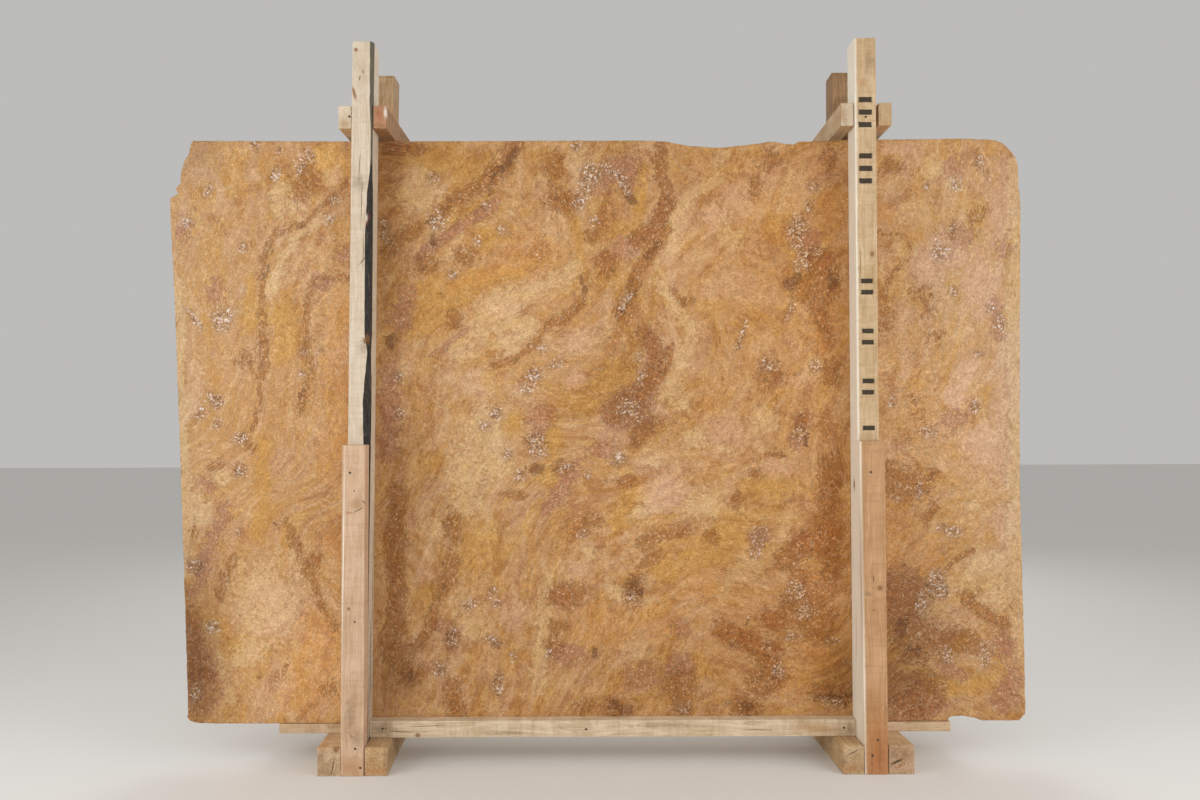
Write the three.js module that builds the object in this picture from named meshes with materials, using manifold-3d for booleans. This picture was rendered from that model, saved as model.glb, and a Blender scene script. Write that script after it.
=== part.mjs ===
// A rough travertine slab standing on edge in the timber frame that carries it.
// Millimetres, +Z up, -Y towards the viewer. The origin is on the ground, under the middle of the whole thing.
// Two pairs of bearers lie front to back on the ground, and a plank across them carries the slab's lower edge.
// A front and a rear post stand between each pair of bearers, and two ties nailed along their sides join their heads.
// A short post doubles the foot of each tall one, and packing blocks hold the slab against the front posts.
import * as THREE from "three";
import Module from "manifold-3d";
import { mergeVertices } from "three/addons/utils/BufferGeometryUtils.js";

const GAP = 0.3; // left between pieces that touch

// Depths, front to back.
const SHORT_POST_DEPTH = 51;
const POST_DEPTH = 85;
const SLAB_THICKNESS = 20;
const POST_FACE_SPACING = 300; // from a front post's front face to the rear post's
const POST_BACK = (POST_FACE_SPACING - POST_DEPTH) / 2; // half the bay between the front and rear posts
const POST_FRONT = POST_BACK + POST_DEPTH;
const FRAME_FRONT = POST_FRONT + SHORT_POST_DEPTH;

// Heights.
const BEARER_HEIGHT = 90;
const PLANK_THICKNESS = 32;
const PLANK_TOP = BEARER_HEIGHT + PLANK_THICKNESS;
const RAIL_HEIGHT = 54;
const TIE_BOTTOM = 2055;
const TIE_HEIGHT = 73;

// Widths along X of the sawn sections.
const BEARER_WIDTHS = { leftOuter: 73, leftInner: 71, rightInner: 66, rightOuter: 80 };
const TIE_WIDTH = 42;
const RAIL_DEPTH = 44;
const PACKER_WIDTH = 66;
const PACKER_HEIGHT = 90;
const PACKER_HEIGHTS = { low: 300, high: 1700 };

// The bearers are not quite square to the slab: their rear ends stand a little to the left.
const BEARER_SKEW = Math.tan(THREE.MathUtils.degToRad(2.4));
const BEARER_INSET = 1.5; // of the bearers' ends behind the short posts' faces

const STONE = new THREE.MeshStandardMaterial({ color: 0xb98046, roughness: 0.55, metalness: 0 });
const PALE_TIMBER = new THREE.MeshStandardMaterial({ color: 0xd2bd9b, roughness: 0.85, metalness: 0 });
const PINK_TIMBER = new THREE.MeshStandardMaterial({ color: 0xc7a07a, roughness: 0.85, metalness: 0 });
const DULL_TIMBER = new THREE.MeshStandardMaterial({ color: 0xb39a76, roughness: 0.9, metalness: 0 });

const wasm = await Module();
wasm.setup();

function solidOf(geometry) {
  const bare = geometry.clone();
  bare.deleteAttribute("normal");
  bare.deleteAttribute("uv");
  const merged = mergeVertices(bare, 1e-3);
  return new wasm.Manifold(
    new wasm.Mesh({
      numProp: 3,
      vertProperties: merged.attributes.position.array,
      triVerts: new Uint32Array(merged.index.array),
    }),
  );
}

function geometryOf(solid) {
  const mesh = solid.getMesh();
  const geometry = new THREE.BufferGeometry();
  geometry.setAttribute("position", new THREE.BufferAttribute(new Float32Array(mesh.vertProperties), 3));
  geometry.setIndex(new THREE.BufferAttribute(new Uint32Array(mesh.triVerts), 1));
  return geometry;
}

function piece(name, geometry, material) {
  const mesh = new THREE.Mesh(geometry, material);
  mesh.name = name;
  return mesh;
}

// A shape drawn in the X-Z plane and given a depth from yFront to yBack.
function upright(points, yFront, yBack) {
  const shape = new THREE.Shape(points.map(([x, z]) => new THREE.Vector2(x, z)));
  const geometry = new THREE.ExtrudeGeometry(shape, { depth: yBack - yFront, bevelEnabled: false });
  return geometry.rotateX(Math.PI / 2).translate(0, yBack, 0);
}

// A post: straight sides that run from [left, right] at the foot to [left, right] at the head.
function post(foot, head, top, yFront, yBack) {
  const outline = [
    [foot[0], 0],
    [foot[1], 0],
    [head[1], top],
    [head[0], top],
  ];
  return upright(outline, yFront, yBack);
}

function block(x, y, z) {
  const geometry = new THREE.BoxGeometry(x[1] - x[0], y[1] - y[0], z[1] - z[0]);
  return geometry.translate((x[0] + x[1]) / 2, (y[0] + y[1]) / 2, (z[0] + z[1]) / 2);
}

// The slab's sawn and broken outline, seen from the front, as [x, z]. It runs anticlockwise from the lower left.
const SLAB_BOTTOM = PLANK_TOP + GAP;
const lowerEdge = [
  [-1353, 143],
  [-1345, 133],
  [-1331, 128],
  [-1314, 124],
  [-1258, SLAB_BOTTOM],
  [1150, SLAB_BOTTOM],
];
const lowerRightNotch = [
  [1153, 134],
  [1166, 139],
  [1199, 139],
  [1229, 135],
  [1252, 128],
  [1264, 124],
];
const rightEdge = [
  [1384, 124],
  [1406, 147],
  [1404, 324],
  [1398, 587],
  [1391, 883],
  [1391, 1113],
  [1393, 1508],
  [1396, 1823],
];
const upperRightCorner = [
  [1392, 1866],
  [1388, 1880],
  [1389, 1924],
  [1386, 1957],
  [1381, 1974],
  [1369, 1992],
  [1352, 2010],
  [1333, 2027],
  [1317, 2034],
  [1297, 2038],
];
const upperEdgeRight = [
  [1196, 2041],
  [824, 2038],
  [689, 2034],
];
const upperEdgeScoop = [
  [666, 2033],
  [650, 2024],
  [619, 2027],
  [587, 2033],
  [568, 2034],
  [535, 2028],
  [466, 2020],
  [419, 2015],
  [373, 2015],
  [301, 2021],
  [258, 2028],
  [232, 2036],
];
const upperEdgeLeft = [
  [143, 2039],
  [-811, 2039],
  [-1327, 2043],
];
const upperLeftBreak = [
  [-1335, 2031],
  [-1343, 2000],
  [-1359, 1973],
  [-1369, 1935],
  [-1371, 1902],
  [-1386, 1884],
  [-1379, 1869],
  [-1406, 1852],
];
const leftEdge = [
  [-1405, 1808],
  [-1401, 1720],
  [-1392, 1531],
  [-1378, 1120],
  [-1366, 709],
  [-1356, 334],
  [-1352, 197],
];
const sawnAndBroken = [
  [lowerEdge, false],
  [lowerRightNotch, true],
  [rightEdge, false],
  [upperRightCorner, true],
  [upperEdgeRight, false],
  [upperEdgeScoop, true],
  [upperEdgeLeft, false],
  [upperLeftBreak, true],
  [leftEdge, false],
];

// A break runs through the slab at a slant, so on the back face its points stand further in, by turns more and less.
const BREAK_SLANTS = [3, 7, 5];

// Open pits and crystal pockets in the sawn faces, as [x, z, half width, half height, lean in degrees].
const PIT_DEPTH = 5;
const FRONT_PITS = [
  [-15, 1912, 30, 18, 20],
  [36, 1868, 16, 30, -10],
  [91, 1884, 22, 26, -40],
  [118, 1842, 14, 20, -30],
  [-14, 1778, 24, 12, 10],
  [-311, 1747, 26, 14, 15],
  [-551, 1753, 36, 20, 40],
  [-528, 1724, 20, 12, 0],
  [-684, 1738, 14, 30, 5],
  [71, 1477, 22, 34, -35],
  [88, 1530, 14, 30, -35],
  [-205, 1270, 30, 18, 40],
  [-133, 1306, 32, 12, 25],
  [-333, 1150, 16, 34, -60],
  [-192, 1006, 14, 30, 10],
  [-205, 957, 20, 16, 30],
  [-196, 1064, 24, 12, 15],
  [650, 1704, 18, 14, 0],
  [683, 1652, 26, 20, 30],
  [640, 1602, 14, 22, 20],
  [476, 1395, 12, 26, -30],
  [1110, 1652, 16, 30, 10],
  [1248, 1335, 24, 12, 10],
  [966, 1178, 12, 18, 0],
  [-525, 296, 22, 30, 0],
  [-327, 256, 14, 34, 0],
  [-363, 395, 26, 12, -35],
  [-482, 395, 12, 30, 5],
  [-426, 510, 20, 18, 0],
  [-5, 355, 14, 18, 10],
  [120, 552, 26, 34, 0],
  [640, 398, 20, 14, 30],
  [-1307, 1480, 26, 16, 20],
  [-1176, 954, 18, 26, 0],
  [1290, 1283, 20, 14, 30],
  [1110, 592, 18, 30, -20],
  [502, 724, 24, 16, 10],
];
const BACK_PITS = [
  [-960, 1600, 34, 18, 25],
  [-380, 1690, 20, 32, -20],
  [-1130, 720, 26, 16, 30],
  [-240, 1180, 30, 16, 40],
  [150, 640, 18, 34, 10],
  [420, 1500, 36, 18, -30],
  [560, 980, 16, 28, 0],
  [1090, 1390, 26, 20, 20],
  [1180, 560, 30, 14, -15],
];

function travertineSlab() {
  const yFront = -POST_BACK + GAP;
  const outline = sawnAndBroken.flatMap(([points]) => points);
  const geometry = upright(outline, yFront, yFront + SLAB_THICKNESS);
  const slants = new Map();
  for (const [points, broken] of sawnAndBroken)
    points.forEach(([x, z], i) => {
      if (broken) slants.set(`${x},${z}`, BREAK_SLANTS[i % BREAK_SLANTS.length]);
    });
  const position = geometry.attributes.position;
  const centre = new THREE.Vector2(0, 1080);
  for (let i = 0; i < position.count; i += 1) {
    const key = `${Math.round(position.getX(i))},${Math.round(position.getZ(i))}`;
    if (position.getY(i) < yFront + SLAB_THICKNESS / 2 || !slants.has(key)) continue;
    const inward = centre.clone().sub(new THREE.Vector2(position.getX(i), position.getZ(i))).normalize();
    position.setX(i, position.getX(i) + inward.x * slants.get(key));
    position.setZ(i, position.getZ(i) + inward.y * slants.get(key));
  }
  let slab = solidOf(geometry);
  for (const [pits, yFace] of [
    [FRONT_PITS, yFront],
    [BACK_PITS, yFront + SLAB_THICKNESS],
  ])
    for (const [x, z, across, up, lean] of pits) {
      const hollow = new THREE.SphereGeometry(1, 9, 6).rotateX(Math.PI / 2).scale(across, PIT_DEPTH, up);
      hollow.rotateY(-THREE.MathUtils.degToRad(lean)).translate(x, yFace, z);
      slab = slab.subtract(solidOf(hollow));
    }
  return piece("travertine_slab", geometryOf(slab), STONE);
}

// How far bark and wane eat into the left front post's right arris, as [height, across the front, along the side].
const WANE = [
  [0, 4, 10],
  [900, 14, 24],
  [1180, 21, 30],
  [1260, 15, 26],
  [1340, 8, 16],
  [1400, 18, 28],
  [1700, 20, 24],
  [1850, 14, 20],
  [1930, 5, 9],
  [2060, 5, 8],
  [2120, 9, 18],
  [2340, 10, 20],
];

function frontPostLeft() {
  const foot = [-814, -746];
  const head = [-779, -713];
  const top = 2333;
  const body = solidOf(post(foot, head, top, -POST_FRONT, -POST_BACK));
  const edgeAt = (z) => THREE.MathUtils.lerp(foot[1], head[1], z / top);
  // The strip that the wane takes away: a triangular section, drawn in plan and swept up the post in steps.
  const OUT = 5;
  let cut = null;
  for (let i = 0; i + 1 < WANE.length; i += 1) {
    const corners = [];
    for (const [z, across, along] of [WANE[i], WANE[i + 1]]) {
      const x = edgeAt(z);
      const slope = across / along;
      corners.push(
        new THREE.Vector3(x - across - OUT * slope, -POST_FRONT - OUT, z - (i === 0 && z === 0 ? OUT : 0)),
        new THREE.Vector3(x + OUT, -POST_FRONT - OUT, z - (i === 0 && z === 0 ? OUT : 0)),
        new THREE.Vector3(x + OUT, -POST_FRONT + along + OUT / slope, z - (i === 0 && z === 0 ? OUT : 0)),
      );
    }
    const wedge = wasm.Manifold.hull(corners.map((c) => [c.x, c.y, c.z]));
    cut = cut ? cut.add(wedge) : wedge;
  }
  return piece("front_post_left", geometryOf(body.subtract(cut)), PALE_TIMBER);
}

function frontPostRight() {
  const geometry = post([836.5, 905.5], [825.5, 894], 2338, -POST_FRONT, -POST_BACK);
  return piece("front_post_right", geometry, PALE_TIMBER);
}

function rearPosts() {
  return [
    piece("rear_post_left", post([-825.5, -757.5], [-778, -711], 2333, POST_BACK, POST_FRONT), PALE_TIMBER),
    piece("rear_post_right", post([823.5, 893], [827.5, 905.5], 2338, POST_BACK, POST_FRONT), DULL_TIMBER),
  ];
}

// The short posts lap the tall ones, in front at the front and behind at the rear.
function shortPosts() {
  const front = [-FRAME_FRONT, -POST_FRONT - GAP];
  const rear = [POST_FRONT + GAP, FRAME_FRONT];
  return [
    piece("front_short_post_left", post([-811.9, -739.6], [-803, -730], 1042, ...front), PINK_TIMBER),
    piece("front_short_post_right", post([838, 911.5], [824, 904], 1049, ...front), PINK_TIMBER),
    piece("rear_short_post_left", post([-830, -758], [-822, -750], 1045, ...rear), PINK_TIMBER),
    piece("rear_short_post_right", post([820, 891], [821, 893], 1038, ...rear), PINK_TIMBER),
  ];
}

// A bearer lies on the ground; left is where its left side meets its front end.
function bearer(name, left, width) {
  const length = 2 * (FRAME_FRONT - BEARER_INSET);
  const plan = new THREE.Shape([
    new THREE.Vector2(left, -length / 2),
    new THREE.Vector2(left + width, -length / 2),
    new THREE.Vector2(left + width - length * BEARER_SKEW, length / 2),
    new THREE.Vector2(left - length * BEARER_SKEW, length / 2),
  ]);
  const geometry = new THREE.ExtrudeGeometry(plan, { depth: BEARER_HEIGHT, bevelEnabled: false });
  return piece(name, geometry, PALE_TIMBER);
}

function bearers() {
  return [
    bearer("bearer_left_outer", -885.3, BEARER_WIDTHS.leftOuter),
    bearer("bearer_left_inner", -736.3, BEARER_WIDTHS.leftInner),
    bearer("bearer_right_inner", 770.4, BEARER_WIDTHS.rightInner),
    bearer("bearer_right_outer", 914, BEARER_WIDTHS.rightOuter),
  ];
}

function ties() {
  const y = [-POST_FRONT + 5, POST_FRONT + 11];
  const tie = (name, left, bottom, material) =>
    piece(name, block([left, left + TIE_WIDTH], y, [bottom, bottom + TIE_HEIGHT]), material);
  return [
    tie("tie_left_outer", -826.8, TIE_BOTTOM, PALE_TIMBER),
    tie("tie_left_inner", -714.8, TIE_BOTTOM, PINK_TIMBER),
    tie("tie_right_inner", 783, TIE_BOTTOM + 3, PALE_TIMBER),
    tie("tie_right_outer", 904.8, TIE_BOTTOM + 4, PALE_TIMBER),
  ];
}

function plankAndRail() {
  const bay = [-POST_BACK + GAP, POST_BACK - GAP];
  const plank = block([-1051, 1159], bay, [BEARER_HEIGHT + GAP, PLANK_TOP]);
  const railY = [-POST_BACK - RAIL_DEPTH, -POST_BACK];
  const rail = block([-743.6, 835.4], railY, [BEARER_HEIGHT + GAP, BEARER_HEIGHT + GAP + RAIL_HEIGHT]);
  return [piece("slab_plank", plank, PALE_TIMBER), piece("front_rail", rail, PALE_TIMBER)];
}

// Packing blocks between the slab's back and the rear posts' fronts.
function packers() {
  const y = [-POST_BACK + SLAB_THICKNESS + 2 * GAP, POST_BACK - GAP];
  const made = [];
  for (const [side, foot, head] of [
    ["left", -791.5, -744],
    ["right", 858.2, 865.7],
  ])
    for (const [level, z] of Object.entries(PACKER_HEIGHTS)) {
      const x = THREE.MathUtils.lerp(foot, head, (z + PACKER_HEIGHT / 2) / 2335);
      const geometry = block([x - PACKER_WIDTH / 2, x + PACKER_WIDTH / 2], y, [z, z + PACKER_HEIGHT]);
      made.push(piece(`packer_${side}_${level}`, geometry, DULL_TIMBER));
    }
  return made;
}

const slabInFrame = new THREE.Group();
slabInFrame.add(
  travertineSlab(),
  frontPostLeft(),
  frontPostRight(),
  ...rearPosts(),
  ...shortPosts(),
  ...bearers(),
  ...ties(),
  ...plankAndRail(),
  ...packers(),
);

export default slabInFrame;
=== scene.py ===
"""A rough travertine slab standing in its timber frame: the visual model and its stage.

Each operator makes one piece or a group of like pieces, and main() calls them in order.
Lengths are metres where a name or comment doesn't say otherwise: +X along the slab, +Y away from the viewer, +Z up.
"""

import math

import bmesh
import bpy
import numpy as np
from mathutils import Matrix, Vector, noise


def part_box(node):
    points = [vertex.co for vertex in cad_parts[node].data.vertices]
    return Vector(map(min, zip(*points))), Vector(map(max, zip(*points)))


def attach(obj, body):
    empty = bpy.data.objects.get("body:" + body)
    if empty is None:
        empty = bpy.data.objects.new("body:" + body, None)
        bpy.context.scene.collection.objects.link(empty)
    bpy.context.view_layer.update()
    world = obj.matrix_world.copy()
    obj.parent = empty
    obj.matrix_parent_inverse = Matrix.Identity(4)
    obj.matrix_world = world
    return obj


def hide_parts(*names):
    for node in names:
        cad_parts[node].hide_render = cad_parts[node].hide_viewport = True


bl_info = {
    "name": "Rough travertine slab",
    "version": (1, 0, 0),
    "blender": (4, 5, 0),
    "location": "View3D > Sidebar > Travertine",
    "description": "A rough travertine slab standing in its nailed timber frame",
    "category": "Add Mesh",
}

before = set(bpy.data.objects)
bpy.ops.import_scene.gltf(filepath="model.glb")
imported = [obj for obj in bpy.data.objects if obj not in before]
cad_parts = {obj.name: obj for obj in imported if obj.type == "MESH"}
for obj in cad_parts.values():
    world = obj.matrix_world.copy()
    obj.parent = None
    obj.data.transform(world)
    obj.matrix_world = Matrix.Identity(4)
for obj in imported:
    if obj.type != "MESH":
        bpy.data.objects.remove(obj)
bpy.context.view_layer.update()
SLAB_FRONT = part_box("travertine_slab")[0].y
SLAB_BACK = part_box("travertine_slab")[1].y
MM = 0.001
CM = 0.01

# The slab's sawn faces: about how long and high they are, and the height of their middle.
FACE_LENGTH = 2.75
FACE_HEIGHT = 1.9
HALF_LENGTH = 1.39
HALF_HEIGHT = 0.955
MIDDLE_HEIGHT = 1.08

# The camera stands square to the slab: its place, roll in degrees, lens in millimetres and upward shift.
CAMERA_PLACE = (0.0084, -3.1925, 1.115)
CAMERA_ROLL = 0.2
CAMERA_LENS = 28.14
CAMERA_SHIFT = 0.0175
LIGHTS_AIM = (0, 0, 1.1)


def linear(colour):
    """An sRGB hex colour as the linear red, green, blue and alpha that Blender's sockets hold."""
    parts = [int(colour[i : i + 2], 16) / 255 for i in (1, 3, 5)]
    return tuple(c / 12.92 if c <= 0.04045 else ((c + 0.055) / 1.055) ** 2.4 for c in parts) + (1.0,)


def add(tree, kind, inputs=None, **settings):
    """Adds a node: settings are its properties, and inputs give a socket its value or the socket it is linked to."""
    made = tree.nodes.new(kind)
    for name, value in settings.items():
        setattr(made, name, value)
    for key, value in (inputs or {}).items():
        if isinstance(value, bpy.types.NodeSocket):
            tree.links.new(value, made.inputs[key])
        else:
            made.inputs[key].default_value = value
    return made


# ---------------------------------------------------------------------------------------------------------------
# The slab's outline and marks
# ---------------------------------------------------------------------------------------------------------------

# The outline's four sides in millimetres, as (x, z): sawn lines with broken corners and a scooped upper edge.
LOWER_EDGE = [
    (-1353, 143), (-1345, 133), (-1331, 128), (-1314, 124), (-1258, 122.3), (1150, 122.3), (1153, 134),
    (1166, 139), (1199, 139), (1229, 135), (1252, 128), (1264, 124), (1384, 124), (1406, 147),
]
UPPER_EDGE = [
    (-1327, 2043), (-811, 2039), (143, 2039), (232, 2036), (258, 2028), (301, 2021), (373, 2015), (419, 2015),
    (466, 2020), (535, 2028), (568, 2034), (587, 2033), (619, 2027), (650, 2024), (666, 2033), (689, 2034),
    (824, 2038), (1196, 2041), (1297, 2038), (1317, 2034), (1333, 2027), (1352, 2010),
]
LEFT_EDGE = [
    (-1353, 143), (-1352, 197), (-1356, 334), (-1366, 709), (-1378, 1120), (-1392, 1531), (-1401, 1720),
    (-1405, 1808), (-1406, 1852), (-1379, 1869), (-1386, 1884), (-1371, 1902), (-1369, 1935), (-1359, 1973),
    (-1343, 2000), (-1335, 2031), (-1327, 2043),
]
RIGHT_EDGE = [
    (1406, 147), (1404, 324), (1398, 587), (1391, 883), (1391, 1113), (1393, 1508), (1396, 1823), (1392, 1866),
    (1388, 1880), (1389, 1924), (1386, 1957), (1381, 1974), (1369, 1992), (1352, 2010),
]

# The larger pits in millimetres, as (x, z, half width, half height, lean in degrees).
FRONT_PITS = [
    (-15, 1912, 30, 18, 20), (36, 1868, 16, 30, -10), (91, 1884, 22, 26, -40), (118, 1842, 14, 20, -30),
    (-14, 1778, 24, 12, 10), (-311, 1747, 26, 14, 15), (-551, 1753, 36, 20, 40), (-528, 1724, 20, 12, 0),
    (-684, 1738, 14, 30, 5), (71, 1477, 22, 34, -35), (88, 1530, 14, 30, -35), (-205, 1270, 30, 18, 40),
    (-133, 1306, 32, 12, 25), (-333, 1150, 16, 34, -60), (-192, 1006, 14, 30, 10), (-205, 957, 20, 16, 30),
    (-196, 1064, 24, 12, 15), (650, 1704, 18, 14, 0), (683, 1652, 26, 20, 30), (640, 1602, 14, 22, 20),
    (476, 1395, 12, 26, -30), (1110, 1652, 16, 30, 10), (1248, 1335, 24, 12, 10), (966, 1178, 12, 18, 0),
    (-525, 296, 22, 30, 0), (-327, 256, 14, 34, 0), (-363, 395, 26, 12, -35), (-482, 395, 12, 30, 5),
    (-426, 510, 20, 18, 0), (-5, 355, 14, 18, 10), (120, 552, 26, 34, 0), (640, 398, 20, 14, 30),
    (-1307, 1480, 26, 16, 20), (-1176, 954, 18, 26, 0), (1290, 1283, 20, 14, 30), (1110, 592, 18, 30, -20),
    (502, 724, 24, 16, 10),
]
BACK_PITS = [
    (-960, 1600, 34, 18, 25), (-380, 1690, 20, 32, -20), (-1130, 720, 26, 16, 30), (-240, 1180, 30, 16, 40),
    (150, 640, 18, 34, 10), (420, 1500, 36, 18, -30), (560, 980, 16, 28, 0), (1090, 1390, 26, 20, 20),
    (1180, 560, 30, 14, -15),
]

# The stone's marks in centimetres. A vein is (width, [(x, z), ...]) and a patch is (x, z, half width, half height).
VEINS = {
    "brown": [
        # left end
        (1.5, [(-82.5, 190), (-90.5, 181.5), (-97, 176.5)]),
        (2.8, [(-99, 176), (-106, 173.5), (-108.5, 168), (-110, 161), (-110, 145.5), (-110, 130)]),
        (1.8, [(-110, 130), (-111.5, 120), (-113.5, 108.5)]),
        (2.2, [(-82.5, 159.5), (-88, 159.5), (-93.5, 158), (-95, 150), (-96, 141), (-94.3, 127), (-98, 115)]),
        (3.5, [(-120, 66.8), (-123.3, 59), (-125.5, 53.5)]),
        (7, [(-134.5, 48), (-133.5, 35.5), (-132.6, 25), (-131.8, 16)]),
        (3.2, [(-102.2, 78.6), (-100.6, 74), (-97.5, 67.6), (-95.2, 61.4), (-91.3, 53.5), (-86.6, 44)]),
        (0.8, [(-101.8, 32.4), (-103.4, 28.5), (-107.7, 25.3)]),
        # middle, upper left
        (3.5, [(-68, 201), (-58, 201.6)]),
        (4.5, [(-26.5, 202), (-28.8, 199.7), (-30.3, 194.2), (-33, 193)]),
        (3.6, [(-33, 193), (-35.8, 191), (-41.3, 188), (-46, 184), (-50, 181)]),
        (3.5, [(-59.3, 175), (-62.5, 173), (-66.4, 170.7), (-68.7, 167.6)]),
        (2.2, [(-5.3, 151), (-9.2, 147.2), (-13.9, 144.8), (-17, 142.5), (-20.2, 137.8)]),
        (1.5, [(-20.2, 137.8), (-23.3, 134.6), (-27.2, 131.5), (-34.3, 130)]),
        # middle, upper right
        (3.2, [(20.6, 202), (21.4, 192.6), (23.7, 188), (22.9, 182.4)]),
        (5, [(22.9, 182.4), (19.8, 177.7), (17.4, 173.8), (13.5, 171.5)]),
        (3, [(22.9, 173.8), (20.6, 169.9), (16.7, 165.2), (13.5, 161.3), (12, 156.6), (9.6, 151.9), (6.9, 147.2)]),
        (4.5, [(17.4, 138), (19.8, 134), (19.8, 130), (15.9, 122), (10.4, 116.7), (5.7, 113.5)]),
        (1, [(25.3, 136.2), (22.9, 130), (20.6, 123.7)]),
        (1.4, [(24.5, 155), (27.6, 151), (31.5, 150.3)]),
        (3, [(73, 166), (74, 150), (76, 138)]),
        (2.5, [(67.6, 112), (66, 107.3)]),
        # middle, lower right
        (3, [(12, 105.3), (15.9, 108.5)]),
        (1, [(55, 100), (61.5, 99)]),
        (2.6, [(14.3, 72.4), (19, 73.2), (25.3, 74.8), (29.2, 75.6)]),
        (3, [(62, 65), (67, 61)]),
        (6, [(41, 42.7), (49, 39), (56.6, 34.8), (52.7, 25.4)]),
        # middle, lower left
        (5, [(-66.4, 88), (-66.4, 66), (-66.4, 45)]),
        (3.6, [(-47.6, 66), (-50, 60), (-51.5, 55), (-56.2, 42.7), (-58.6, 37)]),
        (4.5, [(-47.6, 24), (-46.8, 15)]),
        # right end
        (1, [(104, 171), (102.5, 165.3), (98.6, 161.4), (95.5, 156.7), (94, 152)]),
        (1, [(93, 173), (100, 171)]),
        (2.4, [(126, 200.5), (123.7, 195), (127.6, 191)]),
        (2.6, [(111, 94.5), (108, 89.8)]),
        (2.2, [(111, 83.6), (108, 79.6)]),
        (1, [(114.2, 63.2), (123.6, 68.7)]),
        (2.6, [(118.9, 54.6), (125.2, 49), (133.8, 44.4)]),
    ],
    "rust": [
        (3, [(102.5, 186.5), (97.8, 182.5)]),
        (5, [(45, 42), (56.6, 36), (60, 28)]),
        (2, [(-15.5, 116), (-15.5, 111)]),
    ],
    "gold": [
        (3, [(-114.5, 158), (-114.5, 142)]),
        (4, [(-110, 105), (-110, 94), (-111.5, 76)]),
        (1, [(-50, 197.7), (-43, 194)]),
        (1.2, [(-33.5, 187.5), (-39, 183.2), (-42.9, 180), (-48.4, 177.7)]),
        (3.5, [(-24, 161.3), (-32.7, 159), (-40.5, 156.6), (-46.8, 155)]),
        (2, [(-6, 177.7), (-5.3, 161.3)]),
        (2.5, [(15, 195), (14.3, 182)]),
    ],
    "orange": [
        (8, [(-85, 150), (-86, 105)]),
        (4, [(-24, 164), (-33, 161), (-41, 158), (-48, 156)]),
    ],
    "pale": [
        (2.5, [(-107, 155), (-103.7, 164), (-99, 171.5), (-91.5, 179)]),
        (2.2, [(-137.5, 158), (-137, 130), (-136, 104), (-135.5, 62)]),
        (3, [(-125.5, 34.7), (-121, 20)]),
        (4.5, [(-35, 150.3), (-27.2, 151.9), (-19.4, 155), (-13.1, 158.2), (-6.8, 162.9)]),
        (2, [(-7.5, 200), (-7.5, 190)]),
        (3, [(39.4, 191), (35.5, 188), (30.8, 185.6), (24.5, 176), (25.3, 167.6)]),
        (3.2, [(19.8, 156.6), (25.3, 150.3), (30, 142.5), (30.8, 136.2), (27.6, 130), (25.3, 123.7), (22.1, 119)]),
        (2, [(64.4, 193.4), (60, 180)]),
        (1.5, [(40.5, 103), (45, 100)]),
        (2, [(40, 54), (47.5, 63)]),
        (2, [(-45.2, 60), (-46, 52)]),
        (4.5, [(-17, 59), (-17.8, 43.5), (-19.4, 24)]),
        (5, [(137.5, 196), (137.5, 150), (137, 100), (138, 60), (138.5, 20)]),
    ],
    "mauve": [
        (1.6, [(-125.7, 179), (-121.8, 173)]),
        (4.5, [(-123.3, 84), (-124, 78.6), (-127.3, 70.8), (-129.7, 63), (-133, 56)]),
        (3, [(-33.5, 183.2), (-39.7, 178.5), (-45.2, 175.4), (-50.7, 171.5), (-55.4, 167.6), (-58.6, 164.4)]),
        (1, [(-54.6, 133), (-46.8, 138.6), (-42.9, 141.7)]),
        (5, [(22.9, 182.4), (19.8, 177.7), (17.4, 173.8)]),
        (6, [(17.4, 137.8), (19.8, 134.6), (19.8, 130), (15.9, 122), (10.4, 116.7), (5.7, 113.5)]),
        (5, [(-7.6, 96), (-13.1, 88), (-16.3, 82.6)]),
        (4, [(130.7, 150), (132.3, 137.9)]),
        (3.5, [(111.9, 31.9), (118.9, 27.2)]),
    ],
    "dark": [
        (0.9, [(-95, 178), (-98, 176)]),
        (1, [(-107, 165), (-108.5, 160)]),
        (0.9, [(-96.5, 122), (-98, 119)]),
        (1.3, [(-27, 201), (-29.5, 196), (-34, 191.5)]),
        (0.9, [(-34.6, 189), (-34.3, 186.8)]),
        (1, [(-31.9, 115), (-35, 113)]),
        (0.8, [(-4.9, 159), (-4, 152.7)]),
        (1.4, [(10.5, 186), (13.5, 183.2)]),
        (1.6, [(11, 154), (8.5, 150), (6.9, 147.2)]),
        (1.5, [(20, 170), (16.7, 166)]),
        (1.5, [(66, 158), (62.9, 156.6)]),
    ],
    "crystal": [
        (1.2, [(-135, 149), (-131, 142.5)]),
        (3.4, [(-3.7, 195), (-3.7, 188), (-5.3, 183.2)]),
        (2, [(5, 193.4), (8, 190), (10.4, 187.1)]),
        (1.4, [(10, 154), (7.5, 149)]),
        (2.4, [(66, 176), (64.4, 170.7), (68.3, 166), (65.2, 161)]),
        (1.2, [(48.8, 144), (48, 139.4), (46.4, 135.4)]),
        (1.2, [(63.5, 149), (62.4, 145)]),
        (1, [(105.6, 90), (105.6, 86.5)]),
    ],
}
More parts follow.
